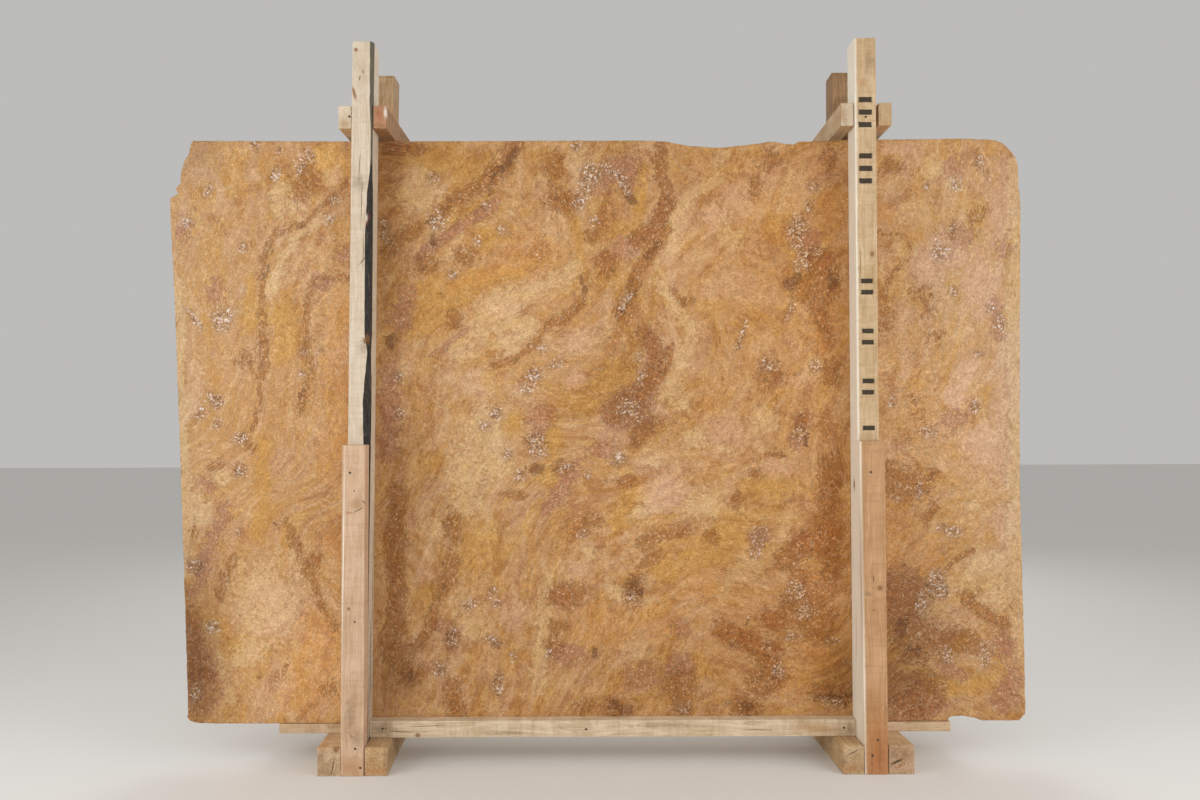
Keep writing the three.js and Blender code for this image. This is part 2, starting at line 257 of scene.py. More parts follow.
PATCHES = {
    "brown": [
        # left end
        (-94.5, 197, 2.5, 2.5), (-97.5, 189.5, 4, 5), (-93.5, 191, 3, 3), (-115.6, 131, 3, 3), (-115, 103, 2, 2),
        (-125.5, 98, 2.5, 2.5), (-132.6, 76.3, 1.2, 3), (-128.7, 28.5, 2.5, 3), (-88, 23.7, 3, 3), (-92, 66, 2.5, 3),
        # middle, upper left
        (-42.9, 166, 3.5, 3), (-56.2, 163.6, 4, 3), (-2.1, 172.3, 2, 2), (3.4, 162.9, 3, 4), (-9.2, 183.2, 3, 3),
        (-13.1, 184, 3, 4), (-13.9, 195.8, 3, 4), (-46.8, 145.6, 2, 4),
        # middle, upper right
        (11.2, 115, 6, 5), (15, 140, 2.5, 2.5), (51.9, 188, 1.5, 4), (56.6, 197.3, 3, 3), (72.3, 152, 3, 5),
        (77, 156.6, 2, 4), (73.8, 162.9, 4, 4), (66, 155, 3, 3), (77, 126.8, 3, 4), (56.6, 126.8, 4, 4),
        (75.8, 197.3, 2, 5),
        # middle, lower right
        (77, 94.4, 3.5, 6), (74.6, 84.2, 3, 3), (67.6, 70.9, 4, 4), (76, 73.2, 4, 6), (77, 63, 3, 4),
        (46.4, 85, 2, 3), (51.9, 94.4, 1.5, 1.5), (37, 73.2, 2, 2), (17.4, 67, 2.5, 3), (61.3, 66.2, 2.5, 2.5),
        (26.8, 23.9, 5, 6), (12, 56, 3, 5), (56.6, 25.4, 3, 3), (48.8, 17.6, 4, 4), (77, 21.5, 7, 3),
        (58.2, 45.8, 5, 3), (9.6, 91.6, 3, 1.5), (72, 45, 5, 6), (65, 52, 5, 4),
        # middle, lower left
        (-20.2, 105.3, 3, 2.5), (-11.5, 96, 3, 2.5), (-47.6, 76.3, 3, 5), (-12.3, 54.4, 5, 3), (-7.6, 54.4, 3, 3),
        (-13.1, 43.5, 3, 2), (-14.7, 37.2, 3, 2), (-5.3, 17.6, 4, 2), (5, 17, 3, 3), (-2.1, 78.7, 3, 2),
        (-67, 35.6, 4, 5), (-61.7, 27.8, 3, 3), (-48, 40.3, 2, 4), (-27.2, 87.3, 4, 1.5),
        # right end
        (97.8, 195, 5, 3), (117, 173.9, 2, 3), (105.7, 153.6, 5, 3), (108.8, 146.5, 3, 3), (111.9, 138.7, 4, 3),
        (94.7, 145, 3, 5), (96.3, 94.5, 3, 3), (101.7, 90.6, 6, 5), (100, 53, 8, 7), (99.4, 43.6, 5, 6),
        (113.4, 39.7, 8, 3.5), (104, 35.8, 5, 4), (105.6, 18.5, 8, 4), (122.8, 38, 3, 3), (108.8, 24.8, 4, 3),
        (104, 117.5, 2.5, 2), (105.7, 112.8, 2, 2), (123.7, 178.6, 2.5, 2.5), (127.6, 181, 2, 2),
    ],
    "rust": [
        (-115.8, 74.7, 1.5, 3), (-128.7, 28.5, 2.5, 2.5), (-92, 66, 3, 3), (-89, 85.7, 2.5, 3.5), (4.1, 137, 3, 3),
        (3.5, 181.7, 3, 3), (2.6, 176, 2.5, 2), (2.6, 163.6, 3, 3), (10.4, 145.6, 2.5, 2.5), (22.1, 112, 3, 1.2),
        (29.2, 75.6, 3, 2), (67.6, 70.9, 4, 4), (75.4, 73.2, 4, 7), (72.3, 56.8, 5, 5), (58.2, 45.8, 5, 3),
        (-6.8, 76.3, 4, 2), (1, 71.6, 2, 2), (-19.4, 166.8, 3, 2.5), (104.9, 132.4, 2, 2), (111.1, 125.4, 5, 1.5),
        (97, 124.6, 3, 2.5), (102.9, 105.4, 2, 2), (97, 26.4, 3, 2.5), (-12.3, 54.4, 4, 2.5), (64, 173, 3, 3),
        (74, 165, 4, 4), (9.6, 91.6, 4, 1.5), (124.5, 116, 4, 3), (76, 110, 3, 5),
    ],
    "gold": [
        (-86.5, 199, 7, 5), (-103.5, 146, 5, 4), (-102, 137, 4, 4), (-119.4, 37.8, 3, 3), (-54, 198, 6, 4),
        (-44.5, 196.5, 6, 4), (-36.6, 172.3, 4, 3), (-55.4, 154, 4, 4), (-50.7, 150.3, 8, 5), (-56.2, 144, 5, 4),
        (-27.2, 111, 3, 3), (-5.3, 117.4, 4, 3), (2.6, 122, 4, 3), (7.3, 174.6, 5, 3), (4.1, 158.2, 3, 3),
        (6.5, 126.8, 4, 5), (56.6, 88.9, 7, 3), (44, 75.6, 6, 5), (35.5, 68.5, 7, 5), (12, 87.3, 4, 4),
        (6.5, 78.7, 2, 3), (33, 33.3, 3, 2), (34.7, 29.4, 3, 1.5), (-14.7, 105.3, 2.5, 6), (-16.3, 92.8, 3, 3),
        (-57, 55, 3, 3), (-54.6, 98.3, 4, 4), (110.4, 187.2, 6, 10), (104.9, 138.7, 4, 4), (106.4, 122.2, 4, 3),
        (124.4, 24, 4, 3), (117.3, 23.3, 3, 3), (97, 35, 3, 3), (13.5, 27, 4, 3), (66, 155, 4, 3),
        (22, 62, 6, 4), (-40, 70, 5, 8),
    ],
    "orange": [
        (-86.5, 70.8, 5, 5), (-92.8, 45.7, 5, 5), (-94.3, 34.7, 6, 6), (-97.5, 23.7, 6, 6), (-19.4, 166.8, 5, 5),
        (-27.2, 168.3, 4, 4), (35.5, 116.7, 3, 3), (1, 43.5, 8, 7), (64.4, 25.4, 6, 5), (72.3, 34.8, 4, 4),
        (95.5, 179.4, 4, 3), (97, 75, 5, 8), (96.3, 66.3, 4, 4), (108, 68.7, 6, 5), (106.4, 63.2, 4, 3),
        (76, 140, 4, 12), (78, 180, 3, 8), (-88, 100, 5, 10), (20, 45, 7, 6), (34, 58, 6, 5),
    ],
    "pale": [
        (-103.5, 184, 4, 5), (-134.5, 86.5, 3, 4), (-123.3, 94.3, 2.5, 2.5), (-129.5, 82.5, 3, 3), (-135, 77, 3, 3),
        (-110, 53.5, 11, 14), (-114.7, 35.5, 4, 4), (-56.2, 186.4, 5, 4), (-61.7, 186.4, 6, 5), (-57.8, 193, 2, 2),
        (-30.3, 148.8, 6, 4), (-36.6, 144, 5, 4), (-24.1, 142.5, 5, 3), (-45.2, 135.4, 5, 4), (-30.3, 137, 4, 3),
        (-37.4, 109.5, 5, 6), (-36, 104, 5, 5), (-5.3, 197.3, 3, 3), (12, 166.8, 2, 2), (41, 197.3, 3, 2),
        (14.3, 81, 3, 3), (31.5, 82.6, 4, 4), (37.8, 84.2, 4, 4), (32.3, 105.3, 4, 3), (18.2, 98.3, 2, 2),
        (48.8, 63, 5, 4), (12, 37.2, 4, 3), (-43, 96, 5, 9), (-43, 84.2, 5, 5), (-32.7, 96.7, 4, 4),
        (-54.6, 75.6, 3, 3), (-44.5, 45, 4, 4), (-39, 42.7, 3, 3), (-2.1, 68.5, 2, 2), (111, 195, 3, 3),
        (123.6, 82.8, 2.5, 2.5), (127.5, 61.6, 7, 7), (133.8, 55.4, 4, 4), (5.7, 55.2, 2, 3), (27.6, 116.7, 2.5, 2.5),
        (117.4, 189.2, 2.5, 2.5), (44, 172, 4, 4), (71.5, 129.2, 4, 3), (55, 112, 5, 4),
    ],
    "pink": [
        (-105.5, 50, 7, 9), (-6.8, 137.8, 3, 3), (-7.6, 125.2, 3, 3), (45.6, 184.8, 4, 4), (38, 178, 3, 4),
        (5.7, 107, 4, 3.5), (19, 87.3, 5, 5), (24, 89, 5, 5), (60.5, 96, 5, 2), (67.6, 125.7, 4, 1.5),
        (-7.6, 63, 2.5, 2), (112.7, 166, 5, 5), (117.4, 164.5, 3, 3), (108.8, 159.8, 3, 3), (122.9, 127.7, 4, 3),
        (117.4, 119.1, 4, 4), (134.5, 76.5, 4, 5), (133.8, 94.5, 4, 6), (134, 182, 4, 12), (135, 125, 4, 12),
        (-27.2, 47.4, 4, 4), (42, 108, 6, 5), (99.4, 201.3, 5, 1.5), (127, 155, 5, 7), (-30.3, 148.8, 5, 3),
        (127, 103, 6, 8),
    ],
    "mauve": [
        (-125, 154, 4, 4), (-135.5, 174.5, 3, 3), (-83.5, 166.5, 3, 3), (-90, 158, 3, 3), (-128.8, 91.5, 3, 3),
        (-62.5, 153.4, 3, 3), (-64.8, 144.8, 4, 4), (-19.4, 112.7, 4, 4), (-134, 38, 4, 14),
        (-128, 26, 5, 9), (9.6, 193.4, 5, 5), (9.6, 168.3, 4, 4),
        (11.2, 115, 8, 7), (52.7, 73.2, 3, 4), (66, 105.3, 2.5, 4), (13.5, 27, 5, 4), (27.6, 31.8, 4, 4),
        (-10, 34.8, 6, 3), (-68.7, 105.3, 3, 6), (117.4, 195, 3, 5), (134.6, 167.7, 3, 3), (100, 53, 8, 8),
        (132.6, 37.4, 4, 4), (136.9, 25.6, 3, 6), (133, 20, 4, 4), (97.8, 16, 6, 3), (105.6, 18.5, 8, 5),
        (27.6, 43.5, 3, 3), (117.4, 112, 4, 4), (67.6, 112, 3, 3), (-52.7, 45, 2, 2), (-68, 122, 3, 10),
        (1, 191, 3, 5), (-48, 40, 3, 5), (70, 170, 5, 5), (122, 172, 4, 4), (1.5, 102, 4, 3),
    ],
    "dark": [
        (-125.3, 119, 2, 2), (-117.8, 95.5, 1.6, 1.6), (-105.7, 77, 1.2, 1.2), (-132.3, 64.5, 2, 2),
        (-111.5, 27.7, 1, 1), (-53.5, 171, 1.5, 1.5), (-67.6, 137.8, 2, 2), (-20.9, 126.8, 1.5, 1.5),
        (-20.2, 96, 2.2, 1.8), (-32.7, 25.5, 1.3, 3), (-61.7, 27.8, 1.5, 1.5), (-0.6, 35.6, 0.8, 1.8),
        (-34.3, 38, 1.5, 1), (-48, 40.3, 1, 3), (77, 156.6, 1, 3), (62.9, 156.6, 1.6, 1.6), (9.6, 16.8, 1.5, 1.5),
        (5, 17.6, 2, 2), (27.6, 16.8, 3, 1.3), (58.9, 29.4, 1.2, 2), (48.8, 17.6, 2, 2), (12, 57, 2, 3),
        (77, 20, 5, 1.5), (110, 56, 1, 3), (113.8, 57, 1, 3), (111.9, 139, 2, 1.5), (99.4, 43.6, 2, 3),
        (104, 36, 2.5, 1.5), (116.6, 153.6, 1.2, 1.2), (109.6, 152, 1.5, 1), (69, 105, 1, 2), (-20.2, 101, 1.5, 1),
        (-55, 177, 1.5, 1.5), (-70.3, 174, 1, 2), (-117, 106, 1.5, 1),
    ],
    "crystal": [
        # left end
        (-105.7, 193, 2, 2.5), (-112, 203, 1.5, 2.5), (-95.5, 199.5, 2, 2), (-97, 195, 1.5, 1.5), (-104, 201, 1, 1),
        (-134.5, 177.5, 1.5, 1.5), (-128, 187.5, 1.5, 1.5), (-87.5, 177.7, 1.5, 1.5), (-86.5, 183.8, 1.5, 1.5),
        (-97, 134.5, 1.2, 1.2), (-97.5, 127, 1.2, 1.2), (-123.3, 145.5, 3.5, 3.5), (-116.3, 169, 1.5, 1.5),
        (-131, 114, 1.5, 1.5), (-124.5, 111, 1.5, 1.5), (-90.5, 134.5, 1, 1), (-125.3, 119, 2.5, 2.5),
        (-117.8, 105.6, 2.5, 2), (-117.8, 95.5, 2.2, 2.2), (-117.8, 75.5, 1.2, 1.2), (-127.2, 43.3, 1.6, 1.6),
        (-132.3, 64.5, 2, 2), (-132, 22, 1.5, 3),
        # middle, upper left
        (-53.5, 191, 2, 1.5), (-53, 177.7, 3, 3), (-70.3, 175.4, 1.6, 3), (-68.4, 171.5, 1.5, 1.5),
        (-36.6, 182.4, 1, 1), (-31.1, 175, 1.5, 1.5), (-39.4, 170.7, 1, 1), (-47.6, 159.7, 1.2, 1.2),
        (-65.6, 126.8, 1.5, 1.5), (-65.6, 114.3, 1.5, 1.5), (-13.9, 131.1, 2.5, 1.2), (-18.6, 135.4, 1, 1),
        (-20.9, 126.8, 2.2, 2.2), (-23.3, 122, 1.6, 1.6), (-20.2, 105.3, 2.2, 2.2), (-6.8, 202, 1.5, 1.5),
        (1, 193.4, 2, 2.5), (-0.6, 177.7, 1.3, 1.3), (-37.4, 109.5, 2, 1.5), (-33, 114, 2, 1.5),
        # middle, upper right
        (14.3, 126, 1, 2), (13.5, 132.3, 1, 1), (71.5, 188.3, 2.5, 1.6), (70, 182.4, 1.5, 1.5), (66.8, 175.4, 2.6, 2.6),
        (72.3, 167.6, 1.5, 1.5), (69.1, 162.5, 1.2, 1.2), (55.8, 130, 3.5, 1.2), (66, 107.3, 1.8, 1.8),
        (71.5, 129.2, 1.5, 1.5), (11.2, 115, 3, 3),
        # middle, lower right
        (7.3, 99, 2, 2), (52.7, 73.2, 2, 3), (51.9, 67.7, 1.6, 1.6), (68.3, 48, 2.6, 1.6), (65.2, 55.2, 3, 2.5),
        (49.5, 45.8, 0.6, 1.2), (64.4, 39.9, 2.5, 1), (55.8, 38, 1.3, 1.3), (77, 39, 2.5, 0.6), (44.9, 37.2, 1.3, 1.3),
        (27.6, 16.8, 2.5, 1), (76.2, 18.4, 2.5, 1.2), (81.7, 31.7, 1, 1), (11.6, 53.6, 1.2, 1.5), (58.9, 29.4, 1.5, 2),
        (42.5, 19.2, 1.5, 0.8),
        # middle, lower left
        (-19.4, 101.4, 2.2, 2), (-25, 93.6, 1.5, 1.5), (-11.5, 96, 2, 1.5), (-2.9, 93.6, 1, 1),
        (-29.6, 100.6, 1.2, 1.2),
        (-42.5, 51, 2, 1.8), (-35, 56, 1.6, 1.6), (-33.5, 51.3, 1, 1), (-35.8, 39.2, 2.5, 1.2), (-52.3, 29.4, 2.2, 2.6),
        (-32.7, 25.5, 1.8, 3.6), (-4.5, 74, 1.3, 1.3), (-16.3, 34.8, 1, 1), (-28, 34.8, 1, 1), (-48, 40.3, 1.6, 3),
        # right end
        (108.8, 189.2, 1, 1), (118.2, 189.2, 1.8, 1.8), (117, 173.9, 1.4, 2), (112.7, 166, 3.5, 3.5),
        (116.6, 153.6, 1.6, 1.6), (128.4, 148, 1.2, 1.2), (125.2, 133.2, 3.5, 1), (96.9, 117.5, 1, 2),
        (108.8, 107.4, 2.2, 2.2), (124.5, 116, 1.6, 1.6), (98.6, 85.5, 1, 1), (113.4, 76.5, 1.2, 1.2),
        (117.3, 75, 2, 2), (111.9, 60, 2.4, 2.8), (112.3, 54.6, 2.2, 2), (106, 50.7, 1.6, 3.4), (114.2, 33.8, 1.4, 2.4),
        (127.5, 34.2, 1.4, 3.6), (125.5, 196, 1.2, 2), (132.3, 143, 1.2, 3),
    ],
}

# Broad lighter (above 0) and darker (below 0) areas: (x, z, half width, half height, change).
# Most follow the stone's own tone. The narrow dark strips beside the posts and at their feet, at x about -66 to -68,
# 75 to 80 and 97, are painted shade from the posts. The dark strips along both ends, at x -139, 136 and 139, are
# painted shade that takes back the brightness the end lights cast there.
TONES_AND_PAINTED_SHADE = [
    (-112, 110, 34, 110, 0.06), (-139, 110, 6, 110, -0.08), (-132, 26, 13, 22, -0.22), (-90, 196, 9, 8, 0.14),
    (-88, 40, 10, 30, 0.06), (-40, 190, 30, 18, -0.04), (-60, 110, 14, 90, -0.06), (-35, 110, 20, 40, 0.08),
    (5, 160, 14, 40, -0.05), (12, 120, 14, 16, -0.08), (76, 120, 10, 80, -0.04), (60, 45, 26, 34, -0.05),
    (25, 25, 20, 12, -0.06), (104, 45, 16, 30, -0.14), (139, 110, 12, 110, -0.04), (-66, 50, 8, 40, -0.08),
    (75, 50, 9, 30, 0.1), (75, 95, 8, 30, 0.08), (-18, 150, 40, 30, 0.08), (20, 170, 20, 14, 0.08),
    (-30, 180, 40, 30, 0.04), (-92, 110, 10, 90, 0.06), (-104, 28, 20, 22, 0.18), (-133, 56, 9, 30, -0.1),
    (14, 80, 22, 24, 0.1), (72, 62, 12, 26, 0.08), (60, 120, 60, 60, 0.04), (110, 120, 20, 50, 0.05),
    (76, 150, 8, 40, 0.06), (-131, 42, 9, 24, -0.15), (-131, 200, 9, 8, -0.2), (-54, 199, 10, 6, -0.12),
    (61, 118, 8, 10, -0.05), (-131, 30, 9, 12, -0.06), (-131, 60, 9, 14, -0.05), (-68, 196, 7, 12, -0.34),
    (-68, 172, 7, 14, -0.24), (-68, 150, 7, 10, -0.14), (-67, 107, 8, 8, -0.14), (-66, 28, 8, 8, -0.22),
    (-54, 92, 9, 18, -0.05), (-54, 31, 9, 11, -0.05), (8, 200, 12, 7, -0.05), (23, 192, 11, 16, -0.06),
    (61, 200, 8, 7, -0.06), (75, 190, 7, 20, -0.05), (44, 31, 9, 11, -0.06), (79, 28, 8, 10, -0.32),
    (97, 27, 9, 8, -0.26), (109, 151, 10, 12, -0.07), (136, 190, 6, 14, -0.1), (136, 110, 6, 70, -0.06),
    (-88, 140, 5, 25, 0.07), (-88, 36, 5, 14, 0.1), (80, 125, 6, 18, -0.07), (-67, 48, 7, 10, 0.05),
    (107, 174, 16, 14, -0.05),
]
# Broad pinker (above 0) and yellower (below 0) areas, in the same way. The yellower strips beside the posts,
# at x -68 and 75 to 76, tint the painted shade there.
BLUSHES = [
    (-138, 120, 16, 110, 0.16), (-112, 160, 14, 40, 0.1), (124, 120, 26, 90, 0.12), (60, 165, 26, 45, -0.14),
    (-36, 105, 16, 34, 0.1), (20, 90, 10, 20, 0.06), (74, 60, 14, 60, -0.08), (55, 45, 14, 20, -0.06),
    (-92, 120, 12, 80, 0.06), (44, 41, 10, 22, -0.12), (61, 118, 8, 10, -0.05), (75, 45, 8, 14, -0.06),
    (-130, 190, 9, 30, 0.06), (23, 190, 12, 18, -0.05), (76, 110, 8, 110, -0.08), (-107, 31, 14, 12, 0.06),
    (-88, 140, 5, 25, 0.06), (-68, 185, 8, 24, -0.06), (136, 115, 6, 50, 0.07), (102, 42, 13, 18, 0.09),
    (118, 165, 20, 40, 0.05), (75, 110, 6, 60, -0.04),
]

# Which way the beds run: (x, z, degrees from level).
BED_DIRECTIONS = [
    (-128, 180, 100), (-115, 190, 88), (-95, 190, 70), (-103, 168, 62), (-125, 150, 100), (-110, 140, 88),
    (-88, 165, 50), (-92, 110, 95), (-128, 70, 68), (-110, 55, 90), (-95, 55, 118), (-110, 25, 80), (-45, 190, 42),
    (-65, 160, 60), (-35, 155, 28), (-20, 140, 38), (-50, 110, 75), (-5, 190, 85), (8, 160, 62), (15, 125, 50),
    (30, 140, 100), (40, 180, 62), (68, 165, 80), (60, 120, 50), (35, 100, 25), (-45, 70, 80), (-52, 40, 70),
    (-18, 50, 88), (5, 75, 30), (30, 75, 20), (15, 30, 30), (50, 40, -25), (72, 70, 40), (70, 25, -8),
    (100, 185, 45), (120, 185, 100), (105, 155, 60), (130, 150, 80), (105, 120, 20), (125, 110, 90), (100, 80, 75),
    (110, 60, 35), (125, 50, -35), (110, 30, -20), (132, 80, 40),
]
# Broad calm areas, where the beds differ less from light to dark: the change is the share that goes.
CALM = [
    (-122, 120, 22, 100, 0.5), (124, 135, 26, 90, 0.5), (40, 150, 24, 50, 0.25), (-30, 150, 20, 40, 0.2),
    (-108, 50, 18, 36, 0.3),
]
# How much fainter some kinds are on the left end and on the upper right end, beyond the posts.
FAINT_ENDS = {
    "brown": (0.35, 0.45), "rust": (0.4, 0.4), "mauve": (0.3, 0.25), "dark": (0.3, 0.6),
    "crystal": (0.1, 0.2), "gold": (0, 0.6),
}
KINDS = ("gold", "orange", "pink", "pale", "mauve", "brown", "rust", "dark", "crystal")


def spaced(length, cell):
    """Rows' places along a side of that length: close to the border at 4 and 10 mm, then one cell apart."""
    middle = np.linspace(20 * MM, length - 20 * MM, int(round((length - 40 * MM) / cell)) + 1)
    return np.concatenate([[0, 4 * MM, 10 * MM], middle, [length - 10 * MM, length - 4 * MM, length]]) / length


def along(side, shares):
    """The points at those shares of a side's length, with the side's own corners kept."""
    line = np.array(side) * MM
    reach = np.concatenate([[0], np.cumsum(np.hypot(*np.diff(line, axis=0).T))])
    steps = shares * reach[-1]
    for corner in reach[1:-1]:
        steps[np.abs(steps - corner).argmin()] = corner
    return np.stack([np.interp(steps, reach, line[:, k]) for k in (0, 1)], axis=1)


def face_points(columns, rows):
    """Points of a sawn face, row by row: each inner one is blended from the four sides."""
    lower, upper = along(LOWER_EDGE, columns), along(UPPER_EDGE, columns)
    left, right = along(LEFT_EDGE, rows), along(RIGHT_EDGE, rows)
    u, v = columns[None, :, None], rows[:, None, None]
    sides = (1 - v) * lower[None] + v * upper[None] + (1 - u) * left[:, None] + u * right[:, None]
    corners = (1 - u) * (1 - v) * lower[0] + u * (1 - v) * lower[-1] + (1 - u) * v * upper[0] + u * v * upper[-1]
    return sides - corners


def slab_solid(cell):
    """The slab before its surface is roughened: two gridded faces and a rim of three rings between them.
    A layer of the mesh, inset, keeps how far each point is from the border."""
    columns, rows = spaced(FACE_LENGTH, cell), spaced(FACE_HEIGHT, cell)
    points = face_points(columns, rows)
    bm = bmesh.new()
    inset = bm.verts.layers.float.new("inset")
    across, up = len(columns) - 1, len(rows) - 1
    bmesh.ops.create_grid(bm, x_segments=across, y_segments=up, size=0.5)
    for vert in bm.verts:
        column, row = round((vert.co.x + 0.5) * across), round((vert.co.y + 0.5) * up)
        x, z = points[row, column]
        vert.co = (x, SLAB_BACK, z)
        u, v = columns[column], rows[row]
        vert[inset] = min(FACE_LENGTH * min(u, 1 - u), FACE_HEIGHT * min(v, 1 - v))
    moved = bmesh.ops.extrude_face_region(bm, geom=bm.faces[:])["geom"]
    front = [part for part in moved if isinstance(part, bmesh.types.BMVert)]
    bmesh.ops.translate(bm, verts=front, vec=(0, SLAB_FRONT - SLAB_BACK, 0))
    rim = [edge for edge in bm.edges if abs(edge.verts[0].co.y - edge.verts[1].co.y) > 10 * MM]
    bmesh.ops.subdivide_edges(bm, edges=rim, cuts=3)
    return bm


def fractal(points, size, seed, octaves=3):
    """Noise of about -1 to 1 at each point, with features of that size in metres."""
    offset = Vector((seed * 7.31, seed * 3.17, seed * 5.73))
    return np.array([noise.fractal(Vector(p) / size + offset, 0.8, 2.1, octaves) for p in points])


def near_vein(x, z, line):
    """Distance from each point to a broken line."""
    best = np.full(len(x), np.inf)
    for (x0, z0), (x1, z1) in zip(line, line[1:]):
        dx, dz = x1 - x0, z1 - z0
        share = np.clip(((x - x0) * dx + (z - z0) * dz) / (dx * dx + dz * dz), 0, 1)
        best = np.minimum(best, np.hypot(x - x0 - share * dx, z - z0 - share * dz))
    return best


def painted(points, kind):
    """How strongly one kind of mark covers each point, 0 to 1, with soft edges for the shader to break up."""
    warp = [12 * MM * fractal(points, 0.09, seed, 2) + 5 * MM * fractal(points, 0.025, seed + 5, 2) for seed in (1, 2)]
    x, z = (points[:, 0] + warp[0]) / CM, (points[:, 2] + warp[1]) / CM
    clear = np.ones(len(points))
    for width, line in VEINS.get(kind, []):
        clear *= 1 - np.exp(-0.8 * (near_vein(x, z, line) / (0.5 * width + 0.4)) ** 2)
    for cx, cz, across, up in PATCHES.get(kind, []):
        clear *= 1 - np.exp(-0.8 * (((x - cx) / (across + 0.4)) ** 2 + ((z - cz) / (up + 0.4)) ** 2))
    left, right = FAINT_ENDS.get(kind, (0, 0))
    fainter = left * np.clip((-72 - x) / 10, 0, 1) + right * np.clip((x - 90) / 10, 0, 1) * np.clip((z - 95) / 20, 0, 1)
    return (1 - clear) * (1 - fainter)


def fitted_heights(centres, slopes):
    """Heights of sloping planes at their centres that let each plane meet its neighbours half way."""
    rows, wanted = [], []
    for i in range(len(centres)):
        for j in range(i):
            apart = centres[j] - centres[i]
            weight = math.exp(-float(apart @ apart) / (2 * 25**2))
            row = np.zeros(len(centres))
            row[i], row[j] = weight, -weight
            rows.append(row)
            wanted.append(-weight * float(apart @ (slopes[i] + slopes[j])) / 2)
    return np.linalg.lstsq(np.array(rows), np.array(wanted), rcond=None)[0]


def bed_places(points):
    """Where each point is along, through and across the stone's beds, which turn from place to place."""
    given = np.array(BED_DIRECTIONS, float)
    centres, angles = given[:, :2], np.radians(given[:, 2])
    level = points[:, [0, 2]] / CM
    places = []
    for slopes in (np.stack([np.cos(angles), np.sin(angles)], 1), np.stack([-np.sin(angles), np.cos(angles)], 1)):
        total, height = np.full(len(points), 1e-9), np.zeros(len(points))
        for centre, slope, at_centre in zip(centres, slopes, fitted_heights(centres, slopes)):
            weight = np.exp(-((level - centre) ** 2).sum(1) / (2 * 15**2))
            total += weight
            height += weight * (at_centre + (level - centre) @ slope)
        places.append(height / total * CM)
    return np.stack([places[0], points[:, 1], places[1]], axis=1)


def broad(points, areas):
    """How much the stone is changed over broad areas."""
    x, z = points[:, 0] / CM, points[:, 2] / CM
    return sum(
        change * np.exp(-(((x - cx) / across) ** 2 + ((z - cz) / up) ** 2)) for cx, cz, across, up, change in areas
    )


def roughen(co, inset, pit_depth, chip):
    """Moves the slab's points inwards only: a chipped and jagged border, a rough broken rim, and the pits."""
    half = 0.5 * (SLAB_BACK - SLAB_FRONT)
    through = (co[:, 1] - SLAB_FRONT - half) / half
    border = inset < 0.5 * MM
    chipped = chip * np.clip(1 + 0.9 * fractal(co, 0.03, 21), 0.15, 2) * np.clip(1 - inset / (7 * MM), 0, 1)
    jags = np.clip(1.2 + 1.0 * fractal(co, 0.04, 22) + 0.8 * fractal(co, 0.012, 23), 0, 4) * MM
    jags *= np.where(border, 1, 0)
    raised = co[:, 2] - MIDDLE_HEIGHT
    sideways = np.abs(co[:, 0]) / HALF_LENGTH > np.abs(raised) / HALF_HEIGHT
    inwards = np.where(sideways, -np.sign(co[:, 0]), 0), np.where(sideways, 0, -np.sign(raised))
    on_front, on_back = through < -0.95, through > 0.95
    moved = co.copy()
    moved[:, 0] += jags * inwards[0]
    moved[:, 2] += jags * inwards[1]
    moved[on_front, 1] += chipped[on_front] + pit_depths(co[on_front], FRONT_PITS, pit_depth)
    moved[on_back, 1] -= chipped[on_back] + pit_depths(co[on_back], BACK_PITS, pit_depth)
    return moved


def pit_depths(points, pits, depth):
    """How deep the pits are at each point."""
    deep = np.zeros(len(points))
    ragged = 0.25 * fractal(points, 0.012, 9, 2)
    for x, z, across, up, lean in pits:
        dx, dz = points[:, 0] / MM - x, points[:, 2] / MM - z
        c, s = math.cos(math.radians(lean)), math.sin(math.radians(lean))
        reach = ((dx * c + dz * s) / across) ** 2 + ((dz * c - dx * s) / up) ** 2 + ragged
        deep = np.maximum(deep, depth * np.sqrt(np.clip(1 - reach, 0, 1)))
    return deep


def finish_piece(bm, name, materials, node):
    """Makes the object of a piece that stands for a CAD node, and sets it on the frame."""
    mesh = bpy.data.meshes.new(name)
    bm.to_mesh(mesh)
    bm.free()
    for material in materials:
        mesh.materials.append(material)
    piece = bpy.data.objects.new(name, mesh)
    bpy.context.scene.collection.objects.link(piece)
    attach(piece, "root")
    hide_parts(node)
    return piece


# ---------------------------------------------------------------------------------------------------------------
# Materials
# ---------------------------------------------------------------------------------------------------------------


def new_material(name):
    """An empty material with its shader and output joined."""
    material = bpy.data.materials.new(name)
    material.use_nodes = True
    tree = material.node_tree
    tree.nodes.clear()
    shader = add(tree, "ShaderNodeBsdfPrincipled")
    add(tree, "ShaderNodeOutputMaterial", {"Surface": shader.outputs["BSDF"]})
    return material, tree, shader


def overlay(tree, below, colour, rim, mask_name, breakup, reach, soft, strength, outline):
    """Lays a colour over the one below where a painted mark is, with its edge broken up and thinly outlined."""
    mark = add(tree, "ShaderNodeAttribute", attribute_name=mask_name)
    shifted = add(tree, "ShaderNodeMath", {0: breakup, 1: 0.5}, operation="SUBTRACT")
    near = add(
        tree, "ShaderNodeMapRange", {"Value": mark.outputs["Fac"], "From Min": 0.03, "From Max": 0.25, "To Max": reach}
    )
    spread = add(
        tree, "ShaderNodeMath", {0: shifted.outputs[0], 1: near.outputs[0], 2: mark.outputs["Fac"]},
        operation="MULTIPLY_ADD",
    ).outputs[0]
    mask = add(
        tree, "ShaderNodeMapRange",
        {"Value": spread, "From Min": 0.5 - soft, "From Max": 0.5 + soft, "To Max": strength},
        interpolation_type="SMOOTHSTEP",
    )
    mixed = add(tree, "ShaderNodeMix", {0: mask.outputs[0], 6: below, 7: colour}, data_type="RGBA").outputs[2]
    if outline:
        mixed = veinlets(tree, mixed, rim, spread, 0.5, 0.14, outline)
    return mixed, mask.outputs[0]


